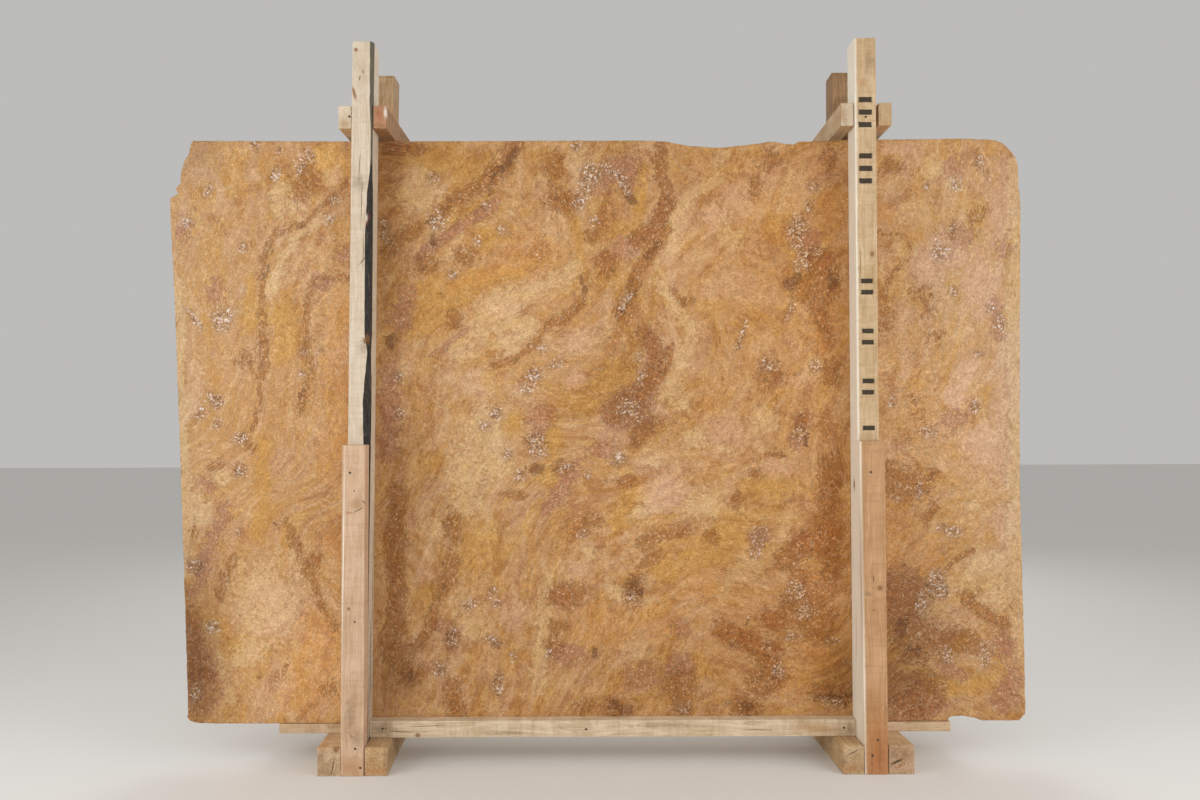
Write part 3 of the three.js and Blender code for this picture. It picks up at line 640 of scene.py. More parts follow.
def veinlets(tree, below, colour, noise_output, level, width, strength):
    """Draws thin lines where a noise crosses a level."""
    off = add(tree, "ShaderNodeMath", {0: noise_output, 1: level}, operation="SUBTRACT")
    away = add(tree, "ShaderNodeMath", {0: off.outputs[0]}, operation="ABSOLUTE")
    line = add(
        tree, "ShaderNodeMapRange", {"Value": away.outputs[0], "From Max": width, "To Min": strength, "To Max": 0.0}
    )
    return add(tree, "ShaderNodeMix", {0: line.outputs[0], 6: below, 7: colour}, data_type="RGBA").outputs[2]


def set_ramp(ramp, stops):
    """Gives a colour ramp its stops, as (place, hex colour)."""
    elements = ramp.color_ramp.elements
    while len(elements) < len(stops):
        elements.new(0.5)
    for element, (place, colour) in zip(elements, stops):
        element.position = place
        element.color = linear(colour)


# The stone's marks, laid one over another: kind, light tone, dark tone, which noise breaks them up, how far, how soft
# their edges are, strength, and how strongly their edges are outlined.
STONE_LAYERS = (
    ("gold", "#D2A156", "#B67E33", "clouds", 2.6, 0.25, 0.36, 0.1),
    ("pink", "#DCAF8C", "#C4926C", "clouds", 2.6, 0.25, 0.42, 0.0),
    ("pale", "#DFC090", "#CDA470", "clouds", 2.8, 0.22, 0.4, 0.15),
    ("orange", "#D29650", "#B47336", "clouds", 3.0, 0.25, 0.38, 0.0),
    ("mauve", "#B67E60", "#87503A", "clouds", 2.4, 0.16, 0.62, 0.25),
    ("brown", "#A96C2C", "#713D14", "beds", 2.6, 0.12, 0.69, 0.4),
    ("rust", "#B06A30", "#83451D", "clouds", 2.6, 0.25, 0.42, 0.2),
    ("dark", "#7E4C24", "#4E2B16", "clouds", 3.0, 0.1, 0.66, 0.0),
    ("crystal", "#B28A68", "#875F45", "grain", 3.2, 0.08, 0.6, 0.3),
)
# The ground from its darkest beds to its lightest, where it is golden and where it is pinkish.
GOLD_TONES = [
    (0.05, "#965F28"), (0.22, "#AB763A"), (0.33, "#A46F35"), (0.43, "#BB894A"), (0.51, "#B58143"), (0.59, "#C49558"),
    (0.69, "#C19154"), (0.81, "#CDA369"), (0.95, "#D6B07C"),
]
PINK_TONES = [
    (0.05, "#9B673F"), (0.22, "#B2825A"), (0.33, "#AB7952"), (0.43, "#BF9269"), (0.51, "#B98B61"), (0.59, "#C89D74"),
    (0.69, "#C4986F"), (0.81, "#D1AB85"), (0.95, "#DBBB98"),
]
# Crystals, from dark to white.
CRYSTAL_TONES = [(0.0, "#69432C"), (0.16, "#98693F"), (0.5, "#B3875C"), (0.72, "#CBAE92"), (0.86, "#EADBD0")]


def travertine_material(line_colour):
    """Honey travertine, sawn and filled: satin, with cloudy beds, brown veins and pockets of white crystals."""
    material, tree, shader = new_material("honey travertine, sawn and filled")
    place = add(tree, "ShaderNodeTexCoord").outputs["Object"]
    beds = add(tree, "ShaderNodeAttribute", attribute_name="beds").outputs["Vector"]
    marks = {
        name: add(tree, "ShaderNodeAttribute", attribute_name=name).outputs["Fac"]
        for name in ("pink", "gold", "brown", "mauve", "rust", "calm", "shade", "blush")
    }
    stretched, drawn, curled = (
        add(tree, "ShaderNodeMapping", {"Vector": beds, "Location": shift, "Scale": scale}).outputs[0]
        for shift, scale in (((0, 0, 0), (8, 15, 15)), ((3, 7, 5), (30, 50, 50)), ((0, 0, 0), (85, 170, 170)))
    )
    # Beds are about 60 mm across and 180 mm long, clouds and grain are 30 and 8 mm, and sugar curls are 12 by 6 mm.
    # The real stone's sugar is finer, and is drawn this coarse to show.
    noises = {}
    for name, vector, scale, detail, roughness, distortion in (
        ("ground", stretched, 1.0, 9.0, 0.55, 1.6),
        ("beds", drawn, 1.0, 8.0, 0.62, 2.4),
        ("clouds", place, 30.0, 7.0, 0.6, 1.8),
        ("grain", place, 95.0, 5.0, 0.65, 1.6),
        ("sugar", curled, 1.0, 4.0, 0.75, 1.8),
        ("hue", stretched, 0.9, 7.0, 0.65, 1.0),
        ("lines", drawn, 0.6, 3.0, 0.5, 2.5),
        ("curls", place, 14.0, 5.0, 0.5, 2.0),
    ):
        noises[name] = add(tree, "ShaderNodeTexNoise", {
            "Vector": vector, "Scale": scale, "Detail": detail, "Roughness": roughness, "Distortion": distortion,
        }).outputs["Fac"]
    # The ground: how light a bed is comes from three noises, evened out where the stone is calm, and its hue runs
    # from gold to pink.
    level = add(tree, "ShaderNodeMath", {0: noises["ground"], 1: 1.35, 2: -0.83}, operation="MULTIPLY_ADD").outputs[0]
    for name, weight in (("beds", 0.65), ("clouds", 0.6)):
        level = add(tree, "ShaderNodeMath", {0: noises[name], 1: weight, 2: level}, operation="MULTIPLY_ADD").outputs[0]
    level = add(tree, "ShaderNodeMix", {0: marks["calm"], 2: level, 3: 0.52}).outputs[0]
    tint = add(tree, "ShaderNodeMath", {0: noises["hue"], 1: 4.0, 2: -1.5}, operation="MULTIPLY_ADD").outputs[0]
    for kind, pinker in (("pink", 0.7), ("gold", -0.8)):
        tint = add(tree, "ShaderNodeMath", {0: marks[kind], 1: pinker, 2: tint}, operation="MULTIPLY_ADD").outputs[0]
    share = add(tree, "ShaderNodeClamp", {"Value": tint}).outputs[0]
    golden, pinkish = (add(tree, "ShaderNodeValToRGB", {"Fac": level}) for _ in range(2))
    set_ramp(golden, GOLD_TONES)
    set_ramp(pinkish, PINK_TONES)
    colour = add(
        tree, "ShaderNodeMix", {0: share, 6: golden.outputs["Color"], 7: pinkish.outputs["Color"]}, data_type="RGBA"
    ).outputs[2]
    for kind, light, dark, breakup, reach, soft, strength, outline in STONE_LAYERS:
        tone = add(tree, "ShaderNodeMix", {0: noises["grain"], 6: linear(dark), 7: linear(light)}, data_type="RGBA")
        colour, pocket = overlay(
            tree, colour, tone.outputs[2], line_colour, kind, noises[breakup], reach, soft, strength, outline
        )
    # Thin lines along the beds and round the clouds, 2 to 4 mm wide.
    for name, crossed, width, tone, strength in (
        ("lines", 0.43, 0.014, "#8A5522", 0.35), ("lines", 0.57, 0.016, "#DFC39A", 0.35),
        ("curls", 0.4, 0.014, "#93602C", 0.3), ("curls", 0.6, 0.02, "#DEC098", 0.3),
    ):
        colour = veinlets(tree, colour, linear(tone), noises[name], crossed, width, strength)
    # Pockets of crystals: cells about 6 mm across, most of them pinkish white or grey and a few dark.
    cells = add(tree, "ShaderNodeTexVoronoi", {"Vector": place, "Scale": 190.0, "Randomness": 1.0})
    pick = add(tree, "ShaderNodeSeparateColor", {"Color": cells.outputs["Color"]})
    crystals = add(tree, "ShaderNodeValToRGB", {"Fac": pick.outputs["Red"]})
    crystals.color_ramp.interpolation = "CONSTANT"
    set_ramp(crystals, CRYSTAL_TONES)
    colour = add(
        tree, "ShaderNodeMix", {0: pocket, 6: colour, 7: crystals.outputs["Color"]}, data_type="RGBA"
    ).outputs[2]
    # Sugar is a fine light and dark speckle, stronger where the stone is brown, mauve or crystalline.
    # Light flecks, one cell in twenty, lie there too.
    speckled = pocket
    for kind in ("brown", "mauve", "rust"):
        speckled = add(tree, "ShaderNodeMath", {0: speckled, 1: marks[kind]}, operation="MAXIMUM").outputs[0]
    fleck = add(
        tree, "ShaderNodeMapRange", {"Value": pick.outputs["Blue"], "From Min": 0.92, "From Max": 0.98, "To Max": 0.5}
    ).outputs[0]
    fleck = add(tree, "ShaderNodeMath", {0: fleck, 1: speckled}, operation="MULTIPLY").outputs[0]
    colour = add(tree, "ShaderNodeMix", {0: fleck, 6: colour, 7: linear("#DDBF9A")}, data_type="RGBA").outputs[2]
    depth = add(tree, "ShaderNodeMapRange", {"Value": speckled, "To Min": 1.25, "To Max": 2.2}).outputs[0]
    both = add(tree, "ShaderNodeMath", {0: noises["sugar"], 1: noises["grain"]}, operation="ADD").outputs[0]
    off = add(tree, "ShaderNodeMath", {0: both, 1: 1.0}, operation="SUBTRACT").outputs[0]
    fine = add(tree, "ShaderNodeMath", {0: off, 1: depth, 2: 1.0}, operation="MULTIPLY_ADD").outputs[0]
    # The broad areas: a blush adds blue and a little green, and a shade changes all three. Besides the stone's own
    # tone, the shade holds painted shade beside the posts, at their feet and along the slab's ends.
    change = (0.985, 0.992, 0.978)
    for name, weights in (("blush", (0.0, 0.5, 1.4)), ("shade", (1.0, 1.2, 1.5))):
        change = add(
            tree, "ShaderNodeVectorMath", {0: marks[name], 1: weights, 2: change}, operation="MULTIPLY_ADD"
        ).outputs[0]
    colour = add(tree, "ShaderNodeVectorMath", {0: colour, 1: change}, operation="MULTIPLY").outputs[0]
    colour = add(tree, "ShaderNodeVectorMath", {0: colour, "Scale": fine}, operation="SCALE").outputs[0]
    tree.links.new(colour, shader.inputs["Base Color"])
    gloss = add(
        tree, "ShaderNodeMapRange",
        {"Value": noises["grain"], "From Min": 0.3, "From Max": 0.7, "To Min": 0.5, "To Max": 0.72},
    ).outputs[0]
    tree.links.new(gloss, shader.inputs["Roughness"])
    shader.inputs["Specular IOR Level"].default_value = 0.3
    height = add(tree, "ShaderNodeMath", {0: pocket, 1: -0.6, 2: noises["grain"]}, operation="MULTIPLY_ADD").outputs[0]
    bump = add(tree, "ShaderNodeBump", {"Strength": 0.3, "Distance": 0.001, "Height": height})
    tree.links.new(bump.outputs["Normal"], shader.inputs["Normal"])
    return material


# Marks on the timbers: colour, where the mark fades (in shares of its own size), strength, and how ragged it is.
TIMBER_MARKS = {
    "halo": ("#A37C52", 0.5, 2.2, 0.5, 0.5),
    "knot": ("#7A5130", 0.75, 1.15, 0.75, 0.4),
    "core": ("#B08257", 0.2, 0.75, 0.6, 0.4),
    "stain": ("#6E5740", -0.3, 1.4, 0.5, 3.0),
    "rose": ("#A5563B", 0.0, 1.2, 0.5, 2.0),
    "amber": ("#B0763F", -0.1, 1.3, 0.5, 1.5),
    # light: a near-white wash. On the inner side faces of the long posts and the right short post it is painted light,
    # for the light falling on those sides; its smaller marks are paler spots.
    "light": ("#FFFCEE", 0.2, 1.2, 0.66, 0.6),
    "crack": ("#46311F", 0.5, 1.1, 0.85, 0.5),
    "hole": ("#2B211B", 0.6, 1.05, 0.9, 0.1),
    "paint": ("#25221F", 0.85, 1.05, 0.93, 0.5),
}


def timber_mark(tree, colour, place, breakup, mark):
    """Lays one knot, stain, crack or painted bar over a timber's colour, at its place and size in millimetres."""
    kind, (x, y, z), size, lean = mark
    tone, inner, outer, strength, ragged = TIMBER_MARKS[kind]
    at = add(
        tree, "ShaderNodeMapping",
        {
            "Vector": place, "Location": (x * MM, y * MM, z * MM), "Rotation": (0, math.radians(lean), 0),
            "Scale": [s * MM for s in size],
        },
        vector_type="TEXTURE",
    ).outputs[0]
    if kind == "paint":
        away = add(tree, "ShaderNodeVectorMath", {0: at}, operation="ABSOLUTE").outputs[0]
        parts = add(tree, "ShaderNodeSeparateXYZ", {0: away}).outputs
        reach = add(tree, "ShaderNodeMath", {0: parts[0], 1: parts[2]}, operation="MAXIMUM").outputs[0]
        reach = add(tree, "ShaderNodeMath", {0: reach, 1: parts[1]}, operation="MAXIMUM").outputs[0]
    else:
        reach = add(tree, "ShaderNodeVectorMath", {0: at}, operation="LENGTH").outputs["Value"]
    off = add(tree, "ShaderNodeMath", {0: breakup, 1: 0.5}, operation="SUBTRACT").outputs[0]
    reach = add(tree, "ShaderNodeMath", {0: off, 1: ragged, 2: reach}, operation="MULTIPLY_ADD").outputs[0]
    mask = add(
        tree, "ShaderNodeMapRange",
        {"Value": reach, "From Min": inner, "From Max": outer, "To Min": strength, "To Max": 0.0},
        interpolation_type="SMOOTHSTEP",
    ).outputs[0]
    return add(tree, "ShaderNodeMix", {0: mask, 6: colour, 7: linear(tone)}, data_type="RGBA").outputs[2]


def pine_material(name, axis, light, dark, pith, dirt_colour, marks=(), end=False):
    """Rough-sawn pine: matt, with yearly rings round a pith, fibres along the grain and faint saw lines across it.
    The same rings show as streaks on the sides and as arcs on the ends, which are darker."""
    material, tree, shader = new_material(name)
    place = add(tree, "ShaderNodeTexCoord").outputs["Object"]
    k = "XYZ".index(axis)
    scales = []
    for across, lengthwise in ((9.0, 3.5), (200.0, 7.0), (1.2, 15.0)):
        scales.append([lengthwise if i == k else across for i in range(3)])
    wander, thin, sawn = scales
    # The timber wanders by about 6 mm over 250 mm, its rings are 6 mm apart, and its fibres are 5 mm wide to show.
    slow = add(tree, "ShaderNodeMapping", {"Vector": place, "Scale": wander}).outputs[0]
    sway = add(tree, "ShaderNodeTexNoise", {"Vector": slow, "Scale": 1.0, "Detail": 2.0, "Roughness": 0.5})
    offset = add(
        tree, "ShaderNodeVectorMath", {0: sway.outputs["Color"], 1: (0.024, 0.024, 0.024), 2: place},
        operation="MULTIPLY_ADD",
    ).outputs[0]
    centred = add(tree, "ShaderNodeMapping", {"Vector": offset, "Location": [-p * MM for p in pith]}).outputs[0]
    rings = add(
        tree, "ShaderNodeTexWave",
        {"Vector": centred, "Scale": 52.0, "Distortion": 2.0, "Detail": 2.0, "Detail Scale": 0.5},
        wave_type="RINGS", rings_direction=axis, wave_profile="SAW",
    )
    fine = add(tree, "ShaderNodeMapping", {"Vector": offset, "Scale": thin}).outputs[0]
    fibre = add(tree, "ShaderNodeTexNoise", {"Vector": fine, "Scale": 1.0, "Detail": 5.0, "Roughness": 0.7})
    patchy = add(tree, "ShaderNodeTexNoise", {"Vector": place, "Scale": 14.0, "Detail": 6.0, "Roughness": 0.65})
    level = -0.95
    for source, weight in ((fibre, 1.9), (rings, -0.5 if end else -0.3), (patchy, 1.6)):
        level = add(
            tree, "ShaderNodeMath", {0: source.outputs["Fac"], 1: weight, 2: level}, operation="MULTIPLY_ADD"
        ).outputs[0]
    tone = add(tree, "ShaderNodeMapRange", {"Value": level, "From Min": 0.15, "From Max": 1.15}).outputs[0]
    colour = add(tree, "ShaderNodeMix", {0: tone, 6: linear(dark), 7: linear(light)}, data_type="RGBA").outputs[2]
    # Saw lines lie across the grain, about 50 mm apart where they are deep enough to show.
    cut = add(tree, "ShaderNodeMapping", {"Vector": place, "Scale": sawn}).outputs[0]
    saw = add(tree, "ShaderNodeTexNoise", {"Vector": cut, "Scale": 1.0, "Detail": 4.0, "Roughness": 0.6}).outputs["Fac"]
    if not end:
        colour = veinlets(tree, colour, linear(dark), saw, 0.5, 0.012, 0.5)
        colour = veinlets(tree, colour, linear(light), saw, 0.57, 0.02, 0.35)
    grime = add(
        tree, "ShaderNodeTexNoise", {"Vector": place, "Scale": 70.0, "Detail": 6.0, "Roughness": 0.75}
    ).outputs["Fac"]
    dirt = add(
        tree, "ShaderNodeMapRange", {"Value": grime, "From Min": 0.6, "From Max": 0.74, "To Max": 0.4}
    ).outputs[0]
    colour = add(tree, "ShaderNodeMix", {0: dirt, 6: colour, 7: dirt_colour}, data_type="RGBA").outputs[2]
    for kind, where, size, lean in marks:
        for layer in (("halo", "knot", "core") if kind == "knot" else (kind,)):
            colour = timber_mark(tree, colour, place, grime, (layer, where, size, lean))
    tree.links.new(colour, shader.inputs["Base Color"])
    shader.inputs["Roughness"].default_value = 0.88
    shader.inputs["Specular IOR Level"].default_value = 0.25
    relief = add(tree, "ShaderNodeMath", {0: saw, 1: 1.5, 2: fibre.outputs["Fac"]}, operation="MULTIPLY_ADD").outputs[0]
    bump = add(tree, "ShaderNodeBump", {"Strength": 0.5, "Distance": 0.0012, "Height": relief})
    tree.links.new(bump.outputs["Normal"], shader.inputs["Normal"])
    return material


def bark_material():
    """Pine bark left on a sawn edge: rough, near black, with grey and brown scales that are longer than wide."""
    material, tree, shader = new_material("pine bark, left on the wane")
    place = add(tree, "ShaderNodeTexCoord").outputs["Object"]
    long = add(tree, "ShaderNodeMapping", {"Vector": place, "Scale": (130.0, 130.0, 30.0)}).outputs[0]
    scales = add(
        tree, "ShaderNodeTexNoise", {"Vector": long, "Scale": 1.0, "Detail": 7.0, "Roughness": 0.7, "Distortion": 0.8}
    ).outputs["Fac"]
    ramp = add(tree, "ShaderNodeValToRGB", {"Fac": scales})
    set_ramp(ramp, [(0.3, "#1F1C1A"), (0.48, "#33302D"), (0.58, "#47423D"), (0.68, "#6B6054"), (0.8, "#9A8467")])
    # The bark is thin and greenish grey near the head, and a strip of pink inner bark shows where it has come away.
    height = add(tree, "ShaderNodeSeparateXYZ", {0: place}).outputs[2]
    thin = add(
        tree, "ShaderNodeMapRange", {"Value": height, "From Min": 1.93, "From Max": 1.96, "To Max": 0.7}
    ).outputs[0]
    colour = add(
        tree, "ShaderNodeMix", {0: thin, 6: ramp.outputs["Color"], 7: linear("#7C7561")}, data_type="RGBA"
    ).outputs[2]
    broken = add(tree, "ShaderNodeTexNoise", {"Vector": place, "Scale": 90.0, "Detail": 4.0}).outputs["Fac"]
    for mark in (
        ("rose", (-738, -190, 1765), (12, 20, 26), 0), ("light", (-738, -190, 1768), (6, 20, 16), 0),
        ("amber", (-733, -188, 1380), (12, 14, 22), 0),
    ):
        colour = timber_mark(tree, colour, place, broken, mark)
    tree.links.new(colour, shader.inputs["Base Color"])
    shader.inputs["Roughness"].default_value = 0.95
    bump = add(tree, "ShaderNodeBump", {"Strength": 0.8, "Distance": 0.003, "Height": scales})
    tree.links.new(bump.outputs["Normal"], shader.inputs["Normal"])
    return material


def nail_material():
    """Bare steel nail heads, dulled: dark grey with brown rust."""
    material, tree, shader = new_material("steel nail, dull and rusty")
    place = add(tree, "ShaderNodeTexCoord").outputs["Object"]
    rust = add(tree, "ShaderNodeTexNoise", {"Vector": place, "Scale": 400.0, "Detail": 3.0})
    ramp = add(tree, "ShaderNodeValToRGB", {"Fac": rust.outputs["Fac"]})
    set_ramp(ramp, [(0.4, "#4B4743"), (0.62, "#5E4331")])
    tree.links.new(ramp.outputs["Color"], shader.inputs["Base Color"])
    shader.inputs["Metallic"].default_value = 0.6
    shader.inputs["Roughness"].default_value = 0.6
    return material


# ---------------------------------------------------------------------------------------------------------------
# Timbers
# ---------------------------------------------------------------------------------------------------------------

# Each timber: the axis of its grain, the name of its kind of pine, its light and dark colours, and its ends' two
# colours.
TIMBERS = {
    "front_post_left": ("Z", "pale_pine", "#E2D4C1", "#C7B296", "#E0C9A2", "#B09468"),
    "front_post_right": ("Z", "pale_pine", "#D6BC99", "#B19168", "#D8BC94", "#A5855A"),
    "rear_post_left": ("Z", "pale_pine", "#C3A684", "#967652", "#CDB28F", "#95764F"),
    "rear_post_right": ("Z", "weathered_pine", "#A98866", "#7D5D3E", "#BD9F7D", "#866747"),
    "front_short_post_left": ("Z", "pink_pine", "#DBBC9F", "#BC9978", "#D9BA97", "#A88863"),
    "front_short_post_right": ("Z", "pink_pine", "#CDA37B", "#AA7F57", "#C9A277", "#9A744C"),
    "rear_short_post_left": ("Z", "pink_pine", "#D9BA9C", "#B99472", "#D9BA97", "#A88863"),
    "rear_short_post_right": ("Z", "pink_pine", "#D9BA9C", "#B99472", "#D9BA97", "#A88863"),
    "bearer_left_outer": ("Y", "pale_pine", "#DCBF98", "#AE8A5F", "#E4CAA8", "#A48460"),
    "bearer_left_inner": ("Y", "pale_pine", "#D4B58C", "#A48057", "#DCBC92", "#A37B50"),
    "bearer_right_inner": ("Y", "pale_pine", "#D4B58C", "#A48057", "#D6BA95", "#98764F"),
    "bearer_right_outer": ("Y", "pale_pine", "#DCBF98", "#AE8A5F", "#DBBC9C", "#977452"),
    "tie_left_outer": ("Y", "pale_pine", "#D9BD97", "#B8946A", "#EADAC6", "#C4AC8C"),
    # The left inner tie is pinker pine; its side tones are set darker than the other ties' as painted shade, where its
    # side stands in shade.
    "tie_left_inner": ("Y", "pink_pine", "#AE8660", "#86603B", "#C79A7B", "#A07050"),
    "tie_right_inner": ("Y", "pale_pine", "#CFB490", "#AC8A63", "#DFCFBA", "#BBA484"),
    "tie_right_outer": ("Y", "pale_pine", "#D0B38D", "#AC8860", "#CFB490", "#A58761"),
    "slab_plank": ("X", "pale_pine", "#DDC3A3", "#B69672", "#D9BC94", "#A98960"),
    "front_rail": ("X", "pale_pine", "#E5D1B5", "#B69B77", "#D9BC94", "#A98960"),
}
for packer in ("left_low", "left_high", "right_low", "right_high"):
    TIMBERS["packer_" + packer] = ("X", "weathered_pine", "#BD9F7D", "#8F7150", "#BD9F7D", "#866747")

# Where the long front post's right arris was the outside of the tree: height, and how far the bark reaches across the
# front and along the side, in millimetres.
WANE = [
    (0, 4, 10), (900, 14, 24), (1180, 21, 30), (1260, 15, 26), (1340, 8, 16), (1400, 18, 28), (1700, 20, 24),
    (1850, 14, 20), (1930, 5, 9), (2060, 5, 8), (2120, 9, 18), (2340, 10, 20),
]

# Marks on the timbers in millimetres: kind, centre, size from centre to edge in x, y and z, and lean in degrees.
MARKS = {
    "front_post_left": [
        ("knot", (-768, -193, 2305), (5, 10, 6), 0), ("crack", (-756, -193, 2215), (2, 8, 9), 10),
        ("crack", (-746, -193, 2234), (2, 8, 9), -5), ("knot", (-774, -193, 2166), (4, 10, 18), -14),
        # The long light mark on the post's inner side face is painted light.
        ("light", (-747, -140, 1300), (8, 46, 1500), 0), ("crack", (-758, -193, 1934), (1.3, 6, 52), 4),
        ("crack", (-752, -193, 1806), (1.3, 6, 84), 2), ("crack", (-747, -193, 1659), (1.3, 6, 70), 2),
        ("crack", (-748, -193, 1633), (1.8, 6, 25), 37), ("knot", (-741, -193, 1374), (7, 14, 9), 0),
        ("stain", (-752, -193, 1350), (20, 10, 30), 0), ("stain", (-760, -193, 1880), (26, 10, 30), 0),
        ("knot", (-747, -150, 760), (8, 22, 13), 0), ("crack", (-741, -140, 330), (7, 5, 200), 0.8),
        ("crack", (-744, -168, 160), (7, 5, 120), 0.8), ("crack", (-739, -120, 620), (7, 4, 260), 0.8),
        ("stain", (-742, -150, 200), (6, 60, 300), 0.8),
    ],
    "front_post_right": [
        ("rose", (826, -190, 2210), (8, 14, 26), 0), ("amber", (850, -193, 2196), (20, 10, 16), 0),
        ("stain", (874, -193, 2260), (16, 10, 50), 0), ("knot", (881, -193, 1646), (6, 12, 8), 0),
        # The long light mark on the post's inner side face is painted light.
        ("light", (831, -150, 1170), (9, 200, 4000), -0.27), ("crack", (842, -193, 1600), (1.4, 6, 70), 1),
        ("knot", (829, -150, 905), (6, 9, 18), 0), ("crack", (832, -160, 420), (6, 2, 130), 0),
    ],
    "rear_post_left": [
        ("amber", (-738, 140, 2200), (40, 60, 60), 0), ("stain", (-720, 108, 2150), (40, 30, 50), 0),
    ],
    "rear_post_right": [
        ("stain", (735, 108, 2220), (30, 30, 60), 0), ("stain", (800, 130, 2160), (40, 60, 50), 0),
        ("crack", (740, 108, 2180), (1.5, 6, 60), 2),
    ],
    "front_short_post_left": [
        ("hole", (-765, -244, 898), (3, 6, 3), 0), ("crack", (-734, -244, 862), (2.2, 8, 12), -38),
        ("rose", (-781, -244, 829), (20, 12, 6), 4), ("crack", (-752, -244, 838), (2, 8, 22), 62),
        ("halo", (-758, -244, 858), (10, 10, 14), 20), ("knot", (-784, -244, 527), (4, 10, 5), 0),
        ("hole", (-765, -244, 486), (4, 6, 3.5), 0), ("stain", (-782, -244, 190), (18, 12, 60), 0),
        ("stain", (-760, -244, 120), (30, 12, 30), 0), ("light", (-800, -240, 700), (2.5, 14, 420), 1),
        ("amber", (-775, -244, 30), (50, 14, 40), 0),
    ],
    "front_short_post_right": [
        ("crack", (867, -244, 615), (1.7, 8, 13), 2), ("knot", (887, -244, 587), (8, 14, 8), 0),
        ("stain", (846, -244, 570), (20, 14, 11), 10), ("knot", (867, -244, 518), (3, 10, 3), 0),
        ("halo", (865, -244, 206), (14, 12, 8), 0), ("stain", (905, -244, 205), (6, 20, 22), 0),
        # The long light mark on the short post's inner side face is painted light.
        ("light", (831, -218, 520), (8, 200, 2600), -0.77), ("amber", (873, -244, 40), (60, 16, 90), 0),
        ("rose", (880, -244, 60), (40, 16, 130), 0),
        ("amber", (873, -244, 120), (60, 16, 160), 0), ("stain", (885, -244, 70), (5, 14, 70), 2),
        ("stain", (860, -244, 50), (4, 14, 60), 0), ("halo", (833, -244, 700), (6, 14, 300), 1),
    ],
    "bearer_left_outer": [
        ("knot", (-824, -243, 88), (9, 10, 13), 20), ("stain", (-850, -243, 12), (30, 14, 12), 0),
        ("stain", (-872, -243, 60), (14, 14, 20), 0), ("crack", (-836, -243, 30), (2, 8, 34), 12),
        ("amber", (-868, -230, 88), (20, 60, 14), 0),
    ],
    "bearer_left_inner": [
        ("amber", (-700, -243, 16), (44, 20, 14), 0),
        ("stain", (-672, -240, 70), (6, 60, 16), 0), ("stain", (-674, -243, 40), (5, 14, 10), 0),
        ("stain", (-670, -100, 45), (10, 200, 60), 0),
    ],
    "bearer_right_inner": [
        ("stain", (748, -243, 66), (5, 14, 12), 0), ("amber", (790, -243, 20), (34, 16, 18), 0),
        ("crack", (802, -243, 70), (2, 8, 26), 64), ("stain", (770, -243, 40), (14, 14, 14), 0),
        ("stain", (748, -100, 45), (10, 200, 60), 0),
    ],
    "bearer_right_outer": [
        ("crack", (938, -243, 40), (5, 10, 26), 66), ("stain", (930, -243, 62), (18, 14, 12), 30),
        ("rose", (948, -243, 26), (16, 14, 8), -20),
    ],
    "tie_left_outer": [("halo", (-806, -195, 2070), (12, 12, 10), 0), ("crack", (-804, -198, 2072), (1.5, 8, 9), 0)],
    "tie_left_inner": [
        ("rose", (-697, -195, 2100), (17, 30, 34), 0), ("light", (-674, -195, 2106), (9, 30, 24), 0),
        ("amber", (-680, -60, 2060), (60, 220, 12), 0), ("stain", (-690, -195, 2062), (20, 20, 10), 0),
    ],
    "tie_right_inner": [("stain", (800, -150, 2070), (10, 60, 20), 0), ("halo", (790, -195, 2100), (10, 10, 24), 0)],
    "tie_right_outer": [("amber", (925, -170, 2065), (20, 60, 12), 0), ("stain", (910, -195, 2090), (4, 20, 40), 0)],
    "slab_plank": [
        ("stain", (-1048, -190, 108), (6, 20, 14), 0), ("rose", (-1000, -193, 96), (30, 12, 8), 0),
        ("stain", (1150, -190, 108), (8, 20, 14), 0), ("rose", (1080, -193, 108), (50, 12, 6), 0),
    ],
    "front_rail": [
        ("stain", (-700, -152, 118), (50, 16, 26), 0), ("crack", (-690, -152, 120), (3, 10, 3), 0),
        ("knot", (-586, -152, 98), (7, 12, 6), 0), ("crack", (-640, -152, 110), (44, 8, 1.4), 3),
        ("crack", (-560, -152, 128), (70, 8, 1.2), -2), ("stain", (-300, -152, 104), (90, 14, 8), 0),
        ("stain", (240, -152, 128), (110, 14, 8), 0), ("crack", (520, -152, 112), (60, 8, 1.2), 1),
        ("stain", (815, -152, 118), (16, 12, 24), 0), ("amber", (700, -152, 120), (90, 14, 20), 0),
    ],
}

# Plain painted bars on the right post: x, half size across and up, and heights.
PAINTED_BARS = [
    (860, 22, 9, (2140, 2100, 2060)), (861, 22, 9, (1960, 1920, 1880)), (864, 20, 8, (1560, 1524)),
    (866, 20, 8, (1400, 1364)), (867, 20, 8, (1240, 1204)), (868, 20, 8, (1090,)),
]
for x, across, up, heights in PAINTED_BARS:
    MARKS["front_post_right"] += [("paint", (x, -193, z), (across, 12, up), 0) for z in heights]

# Nail heads on the frame's front faces, in millimetres: x, y of the face, z.
NAILS = [
    (-765, -243.5, 87), (-749, -243.5, 27), (-778, -243.5, 955), (860, -243.5, 951.5), (879, -243.5, 109),
    (862, -243.5, 60), (-700, -151.5, 120), (796, -151.5, 118), (-790, -192.5, 2092), (862, -192.5, 2085),
    (-40, -151.5, 116),
]


def pith_of(node, axis):
    """Where the tree's middle ran, in millimetres: beyond one face, by a distance that differs between timbers."""
    low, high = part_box(node)
    middle = [0.5 * (low[i] + high[i]) / MM for i in range(3)]
    away = 30 + 7 * (len(node) % 6)
    middle["XYZ".index({"X": "Y", "Y": "Z", "Z": "Y"}[axis])] += away
    middle["XYZ".index({"X": "Z", "Y": "X", "Z": "X"}[axis])] += 0.4 * away
    middle["XYZ".index(axis)] = 0
    return middle


